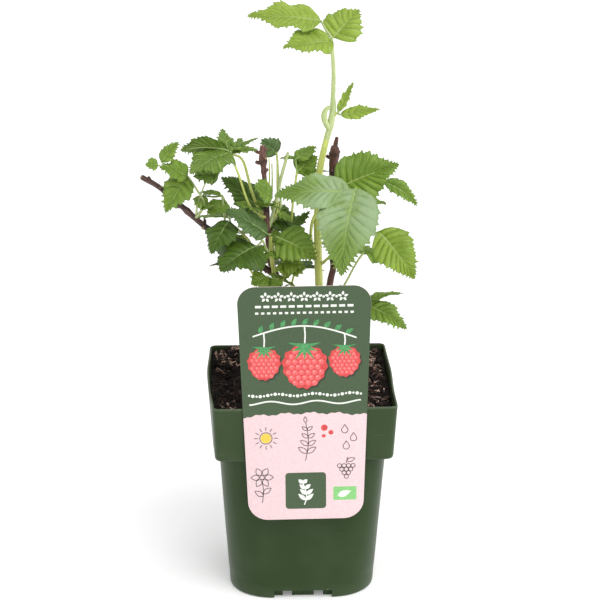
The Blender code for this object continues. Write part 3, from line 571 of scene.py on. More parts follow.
GREY = (0.5, 0.5, 0.5, 1)
SCAR_TINT, CUT_TINT = (0.01, 0.006, 0.005, 1), (0.3, 0.2, 0.12, 1)
LEAF_EFFECT = effect("leaf_effect", {"Blade": GREY, "Deep": GREY, "Midrib": GREY, "Side Veins": GREY,
                                     "Vein Strength": 0.6, "Painted Sheen": 0.0, "Shine": 0.45}, leaf_pattern)
STEM_EFFECT = effect("stem_effect", {"Light": GREY, "Dark": GREY, "Scar": SCAR_TINT, "Cut": CUT_TINT,
                                     "Streaks": 2.0, "Shine": 0.6}, stem_pattern)
SPECKLE_EFFECT = effect("speckle_effect", {"Light": GREY, "Dark": GREY, "Grain": 200.0, "Shine": 0.5,
                                           "Unevenness": 0.2}, speckle_pattern)
PLASTIC_EFFECT = effect("plastic_effect", {"Body": GREY, "Wear And Highlight": GREY, "Shine": 0.4}, plastic_pattern)


def finish(name, group_tree, values, bump=0.3, depth=0.2, **constants):
    """A material: an effect group feeding the Principled shader, with constants on its own sockets."""
    made = bpy.data.materials.new(name)
    made.use_nodes = True
    tree = made.node_tree
    shader = tree.nodes["Principled BSDF"]
    group = tree.nodes.new("ShaderNodeGroup")
    group.node_tree = group_tree
    for key, value in values.items():
        group.inputs[key].default_value = value
    height = Flow(tree, group.outputs["Height"])
    relief = new_node(tree, "Bump", {"Strength": bump, "Distance": depth * MM, "Height": height})
    tree.links.new(group.outputs["Colour"], shader.inputs["Base Color"])
    tree.links.new(group.outputs["Roughness"], shader.inputs["Roughness"])
    tree.links.new(relief.socket, shader.inputs["Normal"])
    for key, value in constants.items():
        shader.inputs[key.replace("_", " ")].default_value = value
    made.diffuse_color = next(iter(values.values()))
    return made


def leaf_finish(name, tints, strength=0.6, shine=0.45, sheen=0.0):
    values = dict(zip(("Blade", "Deep", "Midrib", "Side Veins"), (colour(*tint) for tint in tints)))
    values.update({"Vein Strength": strength, "Shine": shine, "Painted Sheen": sheen})
    return finish(name, LEAF_EFFECT, values, bump=0.6, depth=0.3, Specular_IOR_Level=0.4)


def stem_finish(name, light, dark, streaks=2.0, shine=0.6, bump=0.5, depth=0.3):
    values = {"Light": colour(*light), "Dark": colour(*dark), "Streaks": streaks, "Shine": shine}
    return finish(name, STEM_EFFECT, values, bump, depth)


def speckled(name, light, dark, grain, shine, unevenness=0.2, bump=0.2, depth=0.2, **constants):
    values = {"Light": colour(*light), "Dark": colour(*dark), "Grain": grain, "Shine": shine,
              "Unevenness": unevenness}
    return finish(name, SPECKLE_EFFECT, values, bump, depth, **constants)


# Paths and stems


def smooth_path(points, steps):
    """Points on a smooth curve through the given ones. Each may carry a radius."""
    rows = [Vector(p) for p in points]
    rows = [2 * rows[0] - rows[1], *rows, 2 * rows[-1] - rows[-2]]
    path = []
    for a, b, c, d in zip(rows, rows[1:], rows[2:], rows[3:]):
        first, second = (c - a) / 2, a - b * 2.5 + c * 2 - d / 2
        third = b * 1.5 - c * 1.5 + (d - a) / 2
        for i in range(steps):
            t = i / steps
            path.append(b + first * t + second * t**2 + third * t**3)
    return [tuple(p) for p in path] + [tuple(rows[-2])]


def even_path(points, step):
    """The same smooth curve with a point about every step millimetres, as an array."""
    fine = np.array(smooth_path(points, 12))
    gone = np.concatenate([[0], np.cumsum(np.linalg.norm(np.diff(fine[:, :3], axis=0), axis=1))])
    marks = np.linspace(0, gone[-1], max(3, round(gone[-1] / step) + 1))
    return np.stack([np.interp(marks, gone, fine[:, i]) for i in range(fine.shape[1])], 1), marks


def cross_directions(places):
    """Two directions across a path at each of its points, which don't twist along it."""
    along = np.gradient(places, axis=0)
    along /= np.linalg.norm(along, axis=1)[:, None]
    start = np.array([0, 1, 0]) if abs(along[0][1]) < 0.9 else np.array([1, 0, 0])
    first = [start - along[0] * (start @ along[0])]
    for way in along[1:]:
        side = first[-1] - way * (first[-1] @ way)
        first.append(side / np.linalg.norm(side))
    first[0] = first[0] / np.linalg.norm(first[0])
    first = np.array(first)
    return first, np.cross(along, first)


def stem(name, points, step=1.5, sides=16, relief=None, tip=0.0):
    """A tube through points (x, y, z, radius). relief(turn, gone, places) adds to its radius."""
    path, gone = even_path(points, step)
    middles, radii = path[:, :3], path[:, 3].copy()
    if tip:
        radii[-1] *= tip
    one, two = cross_directions(middles)

    def place(across, along):
        row = np.rint(along * (len(path) - 1)).astype(int)
        turn = across * math.tau
        out = one[row] * np.cos(turn)[:, None] + two[row] * np.sin(turn)[:, None]
        skin = middles[row] + out * radii[row][:, None]
        return skin if relief is None else skin + out * relief(turn, gone[row], skin)[:, None]

    piece = formed_grid(name, sides, len(path) - 1, place)
    stretch_map(piece, gone[-1] / 10)
    seal(piece)
    return piece


def station(points, height):
    """A rising stem's middle, direction and radius at a height."""
    path = smooth_path(points, 2)
    for low, high in zip(path, path[1:]):
        if low[2] <= height <= high[2]:
            place = Vector(low).lerp(Vector(high), (height - low[2]) / (high[2] - low[2]))
            along = Vector(high[:3]) - Vector(low[:3])
            return place.to_3d(), along.normalized(), place.w
    raise ValueError(f"no part of the stem is {height} mm high")


def stalk_points(leaf):
    """The stalk from inside its stem's skin to its leaf's hub."""
    foot, along, radius = station(STEMS[leaf.stem], leaf.foot)
    hub = Vector(leaf.hub)
    away = hub - foot
    away = (away - along * away.dot(along)).normalized()
    skin = foot + away * (radius + STALK_GAP + STALK_RADIUS)
    span = (hub - skin).length
    knee = skin + (away * 0.75 + Vector((0, 0, 0.66))) * span * 0.25
    late = knee.lerp(hub, 0.6) + Vector((0, 0, span * 0.03))
    root = foot + away * radius * 0.6
    return [(*root, 1.5), (*skin, 1.15), (*knee, 0.85), (*late, 0.75), (*hub, 0.8)]


# Leaves


def direction(heading, rise):
    heading, rise = math.radians(heading), math.radians(rise)
    flat = math.cos(rise)
    return Vector((math.cos(heading) * flat, math.sin(heading) * flat, math.sin(rise)))


def leaflet_frame(leaflet, share):
    """The leaflet's own directions at a share of its length: along, across and up."""
    along = direction(leaflet.heading, leaflet.rise + leaflet.droop * (0.5 - share))
    across = Vector((0, 0, 1)).cross(along).normalized()
    up = along.cross(across)
    turn, lift = math.cos(math.radians(leaflet.roll)), math.sin(math.radians(leaflet.roll))
    return along, across * turn + up * lift, up * turn - across * lift


def blade_width(share):
    """A leaflet's width along its length, 1 at its widest, drawn in towards its tip."""
    share = np.clip(share, 0, 1)
    width = 1.12 * np.sin(np.pi * share**0.72).clip(0, 1) ** 0.85 * (1 - 0.25 * share)
    return width * (1 - 0.35 * np.clip((share - 0.6) / 0.4, 0, 1) ** 2)


def spine(leaf, leaflet):
    """Along the midrib: places, and the across and up directions, at SPINE_MARKS."""
    frames = [leaflet_frame(leaflet, share) for share in SPINE_MARKS]
    along, across, up = (np.array([tuple(f[i]) for f in frames]) for i in range(3))
    steps = (along[1:] + along[:-1]) / 2 * leaflet.length * SPINE_MARKS[1]
    start = np.array(leaf.hub, float) + np.array(leaflet[:3], float)
    return start + np.concatenate([np.zeros((1, 3)), np.cumsum(steps, axis=0)]), across, up


def along_spine(values, share):
    return np.stack([np.interp(share, SPINE_MARKS, values[:, i]) for i in range(3)], 1)


def blade(name, leaf, leaflet, chance):
    """One toothed, veined and quilted leaflet blade, and the path of its midrib."""
    length, width = leaflet.length, leaflet.width
    veins = min(13, max(4, round(length / VEIN_SPACING)))
    rows = veins * ROWS_PER_VEIN
    spacing = length / veins
    places, across_them, up_them = spine(leaf, leaflet)
    fold = chance.uniform(0.1, 0.36)
    curl = chance.uniform(0.1, 0.34)
    waves, phase = chance.uniform(1.5, 2.6), chance.uniform(0, 6)
    ruffle = chance.uniform(0.07, 0.13) * width / 2
    twist = chance.uniform(-0.12, 0.12)
    jagged = min(1, 2.2 * width / length) ** 1.5
    teeth = np.array([TEETH[i % ROWS_PER_VEIN] * chance.uniform(0.55, 1.35) for i in range(2 * rows + 2)])
    lobes = np.array([chance.uniform(-1, 1) for _ in range(2 * rows + 2)])
    lobes = np.convolve(lobes, [0.5, 1, 0.5], "same") * 0.3
    seed = chance.uniform(0, 90)

    def place(column, row):
        side = 1 - 2 * column
        out = np.abs(side) ** 1.1
        which = np.rint(row * rows).astype(int) + np.where(side > 0, 0, rows)
        tooth = jagged * teeth[which] * np.sin(np.pi * row**1.3).clip(0, 1) ** 0.5
        calm = 1 - 0.8 * row**3
        edge = np.abs(side) > 0.999
        end = row + VEIN_SLANT * np.sin(np.pi * row) ** 0.9 * (1 - 0.25 * row)
        end = np.minimum(end, 1)
        share = row + (end - row) * out + np.where(edge, TOOTH_LEAN * tooth / rows, 0)
        half = width / 2 * blade_width(end) * 0.97
        cut = TOOTH_DEPTH * spacing * tooth
        cut = cut + LOBE_DEPTH * spacing * lobes[which] * np.sin(np.pi * row).clip(0, 1)
        cut = np.maximum(cut, -0.1 * half)
        off = np.sign(side) * (half * out + np.where(edge, cut, 0))
        bulge = QUILT * spacing * np.sin(np.pi * ((row * veins) % 1)).clip(0, 1) ** 0.7
        bulge *= (1 - np.exp(-np.abs(off) / 1.6)) * (1 - 0.55 * out**3)
        lift = fold * np.abs(off) - curl * np.abs(off) * out**2 + twist * off * calm
        lift += ruffle * np.sin(math.tau * waves * share + phase + side) * out**2 * calm
        lift += bulge - 0.45 * np.exp(-((off / 0.9) ** 2)) * (1 - row)
        lift -= np.where(edge, 0.25 * np.abs(tooth), 0)
        flat = np.stack([share * length, off, np.full_like(off, seed)], 1)
        lift += CRUMPLE * min(width / 25, 1.2) * rough(flat, 11) * out**0.5 * calm
        lift += 0.42 * rough(flat, 3.5)
        over = share.clip(1, 2) - 1
        middle = along_spine(places, share) + (places[-1] - places[-2])[None] / SPINE_MARKS[1] * over[:, None]
        sideways = along_spine(across_them, share) * off[:, None]
        return middle + sideways + along_spine(up_them, share) * lift[:, None]

    piece = formed_grid(name, 2 * HALF_COLUMNS, rows, place)
    stretch_map(piece, veins)
    with editing(piece):
        bpy.ops.mesh.remove_doubles(threshold=0.002 * MM)
    modify(piece, "SOLIDIFY", thickness=BLADE_THICKNESS * MM, offset=-1, material_offset=1)
    rib = along_spine(places, RIB_MARKS) - along_spine(up_them, RIB_MARKS) * 0.62
    radii = 0.62 * (1 - RIB_MARKS) ** 0.8 * (0.5 + length / 80) + 0.12
    return piece, [(*p, r) for p, r in zip(rib, radii)]


def leaf_pieces(kind, name, leaf, *finishes):
    """A compound leaf: its blades as one piece, and its ribs and leaflet stalks as another."""
    top, under, rib_finish = finishes
    blades, ribs = [], []
    for index, leaflet in enumerate(leaf.leaflets):
        made, rib = blade(f"{kind}_{name}_{index}", leaf, leaflet, random.Random(f"{kind}_{name} {index}"))
        blades.append(dress(made, top, under))
        hub, base = Vector(leaf.hub), Vector(rib[0][:3])
        start = [(*hub, 0.8)]
        if (base - hub).length > 2:
            knee = hub.lerp(base, 0.5) - Vector((0, 0, (base - hub).length * 0.06))
            start.append((*knee, 0.65))
        else:
            rib = rib[1:]
        ribs.append(stem(f"{kind}_{name}_rib_{index}", start + rib, step=2.0, sides=6, tip=0.2))
    names = ("blades", "ribs") if kind == "leaf" else (kind, kind)
    nodes = ["leaf_" + name] if kind == "leaf" else ()
    hand_over(join(f"{names[0]}_{name}", blades), nodes, smooth=60)
    hand_over(dress(join(f"{names[1]}_{name}", ribs), rib_finish), smooth=60)


def young_leaf(name, leaf):
    """Two or three small leaflets that grow where a leaf's stalk leaves its stem."""
    chance = random.Random("young leaf_" + name)
    points = stalk_points(leaf)
    foot, knee = Vector(points[1][:3]), Vector(points[2][:3])
    hub = foot.lerp(knee, chance.uniform(0.3, 0.9))
    heading = math.degrees(math.atan2(knee.y - foot.y, knee.x - foot.x))
    leaflets = []
    for turn in (-75, 80, 10)[: chance.choice((2, 3, 3))]:
        length = chance.uniform(8, 15)
        facing, rise = heading + turn + chance.uniform(-20, 20), chance.uniform(-35, 40)
        width = length * chance.uniform(0.55, 0.8)
        roll, droop = chance.uniform(-40, 40), chance.uniform(0, 30)
        leaflets.append(Leaflet(0, 0, 0, facing, rise, length, width, roll, droop))
    return Leaf(leaf.stem, None, tuple(hub), YOUNG_TINTS[len(leaflets) % 2], leaflets)


def build_leaves():
    rib_finish = stem_finish("leaf_rib", (176, 196, 122), (140, 168, 88), 1.2, 0.5, 0.2, 0.1)
    under = leaf_finish("leaf_underside", UNDERSIDE_TINTS, 0.6, 0.8)
    # The pale tint has weaker side veins and a strong painted sheen near its bases; the others have stronger
    # side veins.
    tops = {tint: leaf_finish(f"leaf_{tint}", tints, *((0.45, 0.5, 0.9) if tint == "pale" else (0.7,)))
            for tint, tints in LEAF_TINTS.items()}
    for name, leaf in LEAVES.items():
        leaf_pieces("leaf", name, leaf, tops[leaf.tint], under, rib_finish)
        if leaf.foot and name not in BARE_STALKS:
            young = young_leaf(name, leaf)
            leaf_pieces("young", name, young, tops[young.tint], under, rib_finish)


# Woody canes, green shoots and stalks

CANE_BARKS = {
    "centre_cane": ("cane_bark", (140, 94, 86), (60, 34, 30)),
    "right_cane": ("cane_bark_dark", (112, 68, 58), (58, 34, 30)),
    "left_cane": ("cane_bark_brown", (112, 78, 70), (56, 38, 36)),
}


def bark_relief(name, seed):
    """Ridges along the bark, a swelling at each node and a knobbly head."""
    path, gone_along = even_path(STEMS[name], 1.0)
    marks = [(float(np.interp(n[0], path[:, 2], gone_along)), n[1]) for n in NODES[name]]
    head, growth = HEADS[name]
    head = float(np.interp(head, path[:, 2], gone_along))

    def relief(turn, gone, skin):
        wide = rough(np.stack([np.cos(turn) * 2.2, np.sin(turn) * 2.2, gone / 9], 1), 1.0, seed)
        fine = rough(np.stack([np.cos(turn) * 5, np.sin(turn) * 5, gone / 2.5], 1), 1.0, seed + 3)
        knobs = rough(skin, 2.6, seed + 5)
        swell = sum(0.5 * np.exp(-(((gone - mark) / (half + 0.8)) ** 2)) for mark, half in marks)
        at_head = ((gone - head) / 4).clip(0, 1)
        return 0.2 * wide + 0.12 * fine + swell * (1 + 0.6 * knobs) + at_head * growth * (1 + 0.7 * knobs)

    return relief


def mark_scars(piece, name, seed):
    """Stores how scarred each point of a cane is, and which faces are cut ends."""
    places = read(piece.data.vertices, "co", 3) / MM
    patchy = rough(places, 2.2, seed + 11)
    scar = np.zeros(len(places))
    for height, half, strength in NODES[name]:
        away = np.abs(places[:, 2] - height) / half
        scar = np.maximum(scar, strength * (1.5 - away + 0.7 * patchy).clip(0, 1))
    piece.data.attributes.new("scar", "FLOAT", "POINT").data.foreach_set("value", scar)
    mark_cut_ends(piece)


def mark_cut_ends(piece):
    """The many-sided faces that close a stem are its cut ends."""
    cut_faces = [float(len(face.vertices) > 4) for face in piece.data.polygons]
    piece.data.attributes.new("cut_end", "FLOAT", "FACE").data.foreach_set("value", cut_faces)


def bud(place, out, up, length, width):
    """Points of a small pointed bud that leans out from a stem."""
    start = Vector(place)
    end = start + (Vector(out) * 0.75 + Vector(up)).normalized() * length
    middle = start.lerp(end, 0.45) + Vector(out) * width * 0.3
    return [(*start, width * 0.45), (*middle, width * 0.5), (*end, 0.15)]


def outward(heading, along):
    """A level heading, made square to a stem's direction."""
    out = Vector((math.cos(math.radians(heading)), math.sin(math.radians(heading)), 0))
    return (out - along * out.dot(along)).normalized()


def build_canes():
    for seed, (name, bark_look) in enumerate(CANE_BARKS.items()):
        bark = stem_finish(*bark_look, 2.4, 0.6, 0.6, 0.35)
        points = list(STEMS[name])
        if name == "left_cane":
            points = [LEFT_CANE_ROOT, *points]
        chance = random.Random(name)
        cane = stem(name + "_wood", points, 0.9, 28, bark_relief(name, seed * 7.3), tip=0.75)
        mark_scars(cane, name, seed * 7.3)
        pieces = [cane]
        for index, (height, _, _) in enumerate(NODES[name]):
            place, along, radius = station(points, height)
            out = outward(137.5 * index + 57 * seed, along)
            tips = bud(place + out * radius * 0.8, out, along, chance.uniform(2.6, 4.6), 2.1)
            pieces.append(stem(f"{name}_bud_{index}", tips, 0.7, 8, tip=0.3))
        for index, (height, heading, length, radius) in enumerate(STUBS[name]):
            place, along, thick = station(points, height)
            out = outward(heading, along)
            end = place + out * (thick + length) + along * length * 0.35
            middle = place + out * (thick + length * 0.4)
            spike = [(*place, radius * 1.2), (*middle, radius * 1.05), (*end, radius * 0.85)]
            pieces.append(stem(f"{name}_stub_{index}", spike, 0.6, 12, bark_knobs(seed + index)))
            mark_cut_ends(pieces[-1])
        if name == "centre_cane":
            pieces += peelings(name, points, chance)
        for piece in pieces:
            dress(piece, bark)
        hand_over(join(name + "_bark", pieces), [name], smooth=55)


def bark_knobs(seed):
    return lambda turn, gone, skin: 0.12 * rough(skin, 1.2, seed + 20)


def peelings(name, points, chance):
    """Thin strips of bark that lift off a cane."""
    strips = []
    for index in range(PEELINGS):
        place, along, radius = station(points, chance.uniform(*PEELING_HEIGHTS))
        out = outward(chance.uniform(0, 360), along)
        length, lift = chance.uniform(3, 8), chance.uniform(0.3, 1.0)
        middle = place + out * (radius + 0.25) + along * length / 2
        end = place + out * (radius + lift) + along * length
        strip = [(*(place + out * (radius + 0.05)), 0.45), (*middle, 0.4), (*end, 0.15)]
        strips.append(stem(f"{name}_strip_{index}", strip, 1.0, 5, tip=0.4))
    return strips


def shoot_relief(seed, ridges):
    def relief(turn, gone, skin):
        lines = np.cos(5 * turn + 0.25 * np.sin(gone / 14 + seed)) * ridges
        return lines + 0.06 * rough(skin, 3.0, seed)

    return relief


def build_shoots():
    green = stem_finish("shoot_green", (206, 214, 122), (176, 190, 90), 1.6, 0.42, 0.25, 0.15)
    pale = stem_finish("shoot_pale", (196, 208, 152), (168, 186, 118), 1.4, 0.45, 0.2, 0.12)

    def grow(name, points, step, sides, relief, look, nodes=(), tip=0.0):
        piece = dress(stem(name, points, step, sides, relief, tip), look)
        return hand_over(piece, nodes, smooth=70)

    shoot = stem("green_shoot_skin", STEMS["green_shoot"], 1.4, 24, shoot_relief(0, 0.12))
    dress(shoot, green, pale)
    layer = shoot.data.uv_layers.active.uv
    whole = max(uv.vector.y for uv in layer)
    for face in shoot.data.polygons:
        if sum(layer[i].vector.y for i in face.loop_indices) / face.loop_total > whole * PALE_FROM:
            face.material_index = 1
    hand_over(shoot, ["green_shoot"], smooth=70)
    grow("side_shoot_skin", STEMS["side_shoot"], 1.2, 16, shoot_relief(4, 0.08), green, ["side_shoot"])
    for index, (name, points) in enumerate(TWIGS.items()):
        twig = stem("twig_" + name, points, 1.2, 12, shoot_relief(index + 2, 0.05), tip=0.8)
        mark_cut_ends(twig)
        hand_over(dress(twig, green if index % 3 else pale), smooth=70)
    grow("shoot_sheath", SHEATH, 1.0, 24, sheath_relief, pale, tip=0.5)
    grow("shoot_node_wrap", NODE_WRAP, 1.2, 20, shoot_relief(8, 0.15), pale, tip=0.3)
    build_prickles()
    stalked = [(name, leaf) for name, leaf in LEAVES.items() if leaf.foot]
    for index, (name, leaf) in enumerate(stalked):
        look = pale if index % 2 else green
        points = stalk_points(leaf)
        grow(f"stalk_{name}_skin", points, 1.6, 10, shoot_relief(index, 0.05), look, ["stalk_" + name])


# The curled sheath at the shoot's node and what it wraps
SHEATH = [(20.5, 0, 328, 1.6), (17.5, -2, 333, 2.0), (15.9, -2.6, 338.4, 2.1), (16.8, -2, 342.6, 1.7),
          (19.6, -1, 344.6, 1.3), (22, 0, 343, 0.9)]
NODE_WRAP = [(16.6, -0.2, 317, 1.4), (19.3, -0.3, 327, 2.1), (21.2, -0.4, 336, 2.4), (22.3, -0.7, 343, 2.0),
             (22.5, -0.3, 352, 1.1)]


def sheath_relief(turn, gone, skin):
    return -0.8 * np.cos(turn).clip(0, 1) ** 2 + 0.12 * np.cos(6 * turn)


def build_prickles():
    """Fine soft prickles on the green shoot."""
    look = speckled("shoot_prickle", (150, 120, 90), (120, 96, 70), 400, 0.5, 0.1, 0.2, 0.1)
    chance = random.Random("prickles")
    thorn = primitive_shape(bpy.ops.mesh.primitive_cone_add, vertices=5, radius1=0.24, radius2=0.02,
                            depth=1.3)
    placings = []
    for _ in range(PRICKLES):
        place, along, radius = station(STEMS["green_shoot"], chance.uniform(*PRICKLE_HEIGHTS))
        out = outward(chance.uniform(0, 360), along)
        lean = (out - along * 0.25).normalized()
        turn = lean.to_track_quat("Z", "Y").to_matrix().to_4x4()
        size = Matrix.Scale(chance.uniform(0.5, 1.0), 4)
        placings.append((Matrix.Translation(place + lean * (radius + 0.35)) @ turn @ size, [0.0]))
    hand_over(dress(scattered("shoot_prickles", thorn, placings), look), smooth=40)


# Pot


def corner_turns():
    """Angles round the pot, closer together towards its corners."""
    steps = np.arange(-QUARTER_COLUMNS // 2, QUARTER_COLUMNS // 2) / (QUARTER_COLUMNS / 2)
    quarter = 45 * (1 + np.sign(steps) * np.abs(steps) ** 1.8)
    return np.radians(np.concatenate([quarter + 90 * k for k in range(4)]))


def square_reach(turn, half, radius):
    """How far a square with rounded corners reaches from its middle at each angle."""
    cosine, sine = np.abs(np.cos(turn)), np.abs(np.sin(turn))
    big, small = np.maximum(cosine, sine), np.minimum(cosine, sine)
    flat = half / big
    inner = half - radius
    both = big + small
    root = np.sqrt(np.maximum(both**2 * inner**2 - 2 * inner**2 + radius**2, 0))
    return np.where(flat * small <= inner, flat, both * inner + root)


def section(height, foot, top, widths, radii, inset):
    """Half the pot's width and its corners' radius between a foot and a top."""
    share = (height - foot) / (top - foot)
    half = (widths[0] + (widths[1] - widths[0]) * share) / 2
    return half - inset, radii[0] + (radii[1] - radii[0]) * share - inset, height


def body_section(height, inset=0.0):
    widths, radii = (BODY_FOOT_WIDTH, BODY_TOP_WIDTH), (BODY_FOOT_RADIUS, BODY_TOP_RADIUS)
    return section(height, 0, COLLAR_FOOT, widths, radii, inset)


def collar_section(height, inset=0.0):
    widths, radii = (COLLAR_FOOT_WIDTH, RIM_WIDTH), (COLLAR_RADIUS, RIM_RADIUS)
    return section(height, COLLAR_FOOT, POT_HEIGHT, widths, radii, inset)


def pot_profile():
    """The pot's wall from the middle of its underside, over the rim, to the middle of its floor."""
    rows = [(0, 0, 0), (20, 10, 0), (44, 24, 0)]
    rows += [body_section(h, i) for h, i in ((0, 1.6), (0.25, 0.8), (0.8, 0.25), (1.6, 0))]
    rows += [body_section(h, i) for h, i in ((6, 0.05), (10, 0.1), (14.4, 0.15), (15.2, 0))]
    rows += [body_section(h) for h in np.linspace(20, 106, 16)]
    rows += [body_section(108.6), body_section(109.4, -0.25), body_section(109.85, -0.8)]
    rows += [collar_section(COLLAR_FOOT, i) for i in (1.9, 1.2)]
    rows += [collar_section(h, i) for h, i in ((110.3, 0.5), (110.9, 0.12), (111.8, 0))]
    rows += [collar_section(h) for h in np.linspace(115, 146, 9)]
    rows += [collar_section(h, i) for h, i in ((147.6, 0.02), (148.9, -0.02), (149.6, 0.2), (149.95, 0.55))]
    rows += [collar_section(h, i) for h, i in ((149.95, 1.05), (149.5, 1.45), (148.6, WALL))]
    rows += [collar_section(h, WALL) for h in (140, 130, 120, 113.2)]
    rows += [body_section(112.2, WALL + 0.6), body_section(110.5, WALL)]
    rows += [body_section(h, WALL) for h in np.linspace(100, 12, 8)]
    rows += [body_section(9, WALL + 0.8), body_section(FLOOR_TOP, WALL + 2.4)]
    rows += [(20, 12, FLOOR_TOP), (0, 0, FLOOR_TOP)]
    return np.array(rows, float)


def sag(turn, height):
    """How far the pot's thin wall strays from true, mostly near its rim, and never at the front."""
    front = np.exp(-(((turn - math.pi * 1.5) / 0.75) ** 2))
    lean = 0.5 * np.sin(2 * turn + 0.6) + 0.35 * np.sin(5 * turn + 1.1)
    return (lean * (0.25 + 0.75 * (height / POT_HEIGHT) ** 3) - 0.2) * (1 - front)


def bend(x, y, height):
    """Sideways: the left wall bows out behind its front corner, which is pushed in a little."""
    left = (-x / 60).clip(0, 1) ** 2 * (height / POT_HEIGHT).clip(0, 1) ** 1.5
    bow, dent = WALL_BOW * np.exp(-(((y + 62) / 24) ** 2)), CORNER_DENT * np.exp(-(((y - 8) / 30) ** 2))
    return left * (bow - dent)


def build_pot():
    profile, turns = pot_profile(), corner_turns()
    columns = len(turns)

    def place(across, along):
        turn = turns[np.rint(across * columns).astype(int) % columns]
        half, radius, height = profile[np.rint(along * (len(profile) - 1)).astype(int)].T
        reach = square_reach(turn, half, radius) + sag(turn, height) * np.minimum(half / 40, 1)
        reach = np.where(half < 1, 0, reach)
        x, y = reach * np.cos(turn), reach * np.sin(turn)
        return np.stack([x + bend(x, y, height), y, height], 1)

    pot = formed_grid("pot_wall", columns, len(profile) - 1, place)
    seal(pot, reach=0.01)
    edge = BODY_FOOT_WIDTH / 2 - NOTCH_DEPTH
    deep = 2 * FOOT_HEIGHT
    for turn in range(4):
        cut(pot, bar("notch", (edge + NOTCH_BAR / 2, 0, 0), (NOTCH_BAR, NOTCH_WIDTH, deep), 90 * turn))
    for side in (-CHANNEL_PITCH / 2, CHANNEL_PITCH / 2):
        for turn in (0, 90):
            cut(pot, bar("channel", (0, side, 0), (CHANNEL_BAR, CHANNEL_WIDTH, deep - 0.2), turn))
        for other in (-CHANNEL_PITCH / 2, CHANNEL_PITCH / 2):
            select_only()
            size = {"radius": DRAIN_RADIUS * MM, "depth": 5 * FLOOR_TOP * MM}
            bpy.ops.mesh.primitive_cylinder_add(vertices=24, location=(side * MM, other * MM, 0), **size)
            cut(pot, bpy.context.object)
    values = {"Body": colour(*POT_GREEN), "Wear And Highlight": colour(*POT_WEAR_AND_HIGHLIGHT), "Shine": 0.36}
    dress(pot, finish("pot_plastic", PLASTIC_EFFECT, values, 0.12, 0.1, Specular_IOR_Level=0.22))
    hand_over(pot, ["pot"], smooth=32)


def cut(piece, cutter):
    modify(piece, "BOOLEAN", operation="DIFFERENCE", solver="EXACT", object=cutter)
    bpy.data.objects.remove(cutter, do_unlink=True)


def bar(name, middle, size, turn=0):
    """A box, turned about the pot's middle."""
    select_only()
    bpy.ops.mesh.primitive_cube_add(size=1, location=[m * MM for m in middle])
    made = bpy.context.object
    made.name = name
    made.scale = [s * MM for s in size]
    bpy.ops.object.transform_apply(location=True, rotation=True, scale=True)
    made.data.transform(Matrix.Rotation(math.radians(turn), 4, "Z"))
    return made


# Soil


def bump_at(x, y, centre, radius):
    away = np.hypot(x - centre[0], y - centre[1]) / radius
    return (1 + np.cos(np.pi * np.minimum(away, 1))) / 2


def soil_height(x, y):
    """The soil's top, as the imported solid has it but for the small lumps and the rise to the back."""
    edge = np.maximum(np.abs(x), np.abs(y)) / (RIM_WIDTH / 2)
    calm = ((np.hypot(x, y) - CALM_RADIUS) / CALM_FADE).clip(0, 1)
    spots = np.stack([x, y, np.full_like(x, 7.0)], 1)
    height = SOIL_LEVEL + calm * (rough(spots, 13) * 2.2 - SOIL_EDGE_DROP * edge)
    height -= HOLLOW_DEPTH * bump_at(x, y, HOLLOW_CENTRE, HOLLOW_RADIUS)
    height += RIDGE_HEIGHT * bump_at(x, y, RIDGE_CENTRE, RIDGE_RADIUS)
    height += BACK_RISE * ((y - 25) / 30).clip(0, 1) ** 1.5
    height += 1.3 * rough(spots, 6.0, 3) + 1.5 * np.abs(rough(spots, 3.0, 9)) - 0.3
    return height + 0.4 * rough(spots, 1.3, 5)


def height_at(x, y):
    return float(soil_height(np.array([x]), np.array([y]))[0])


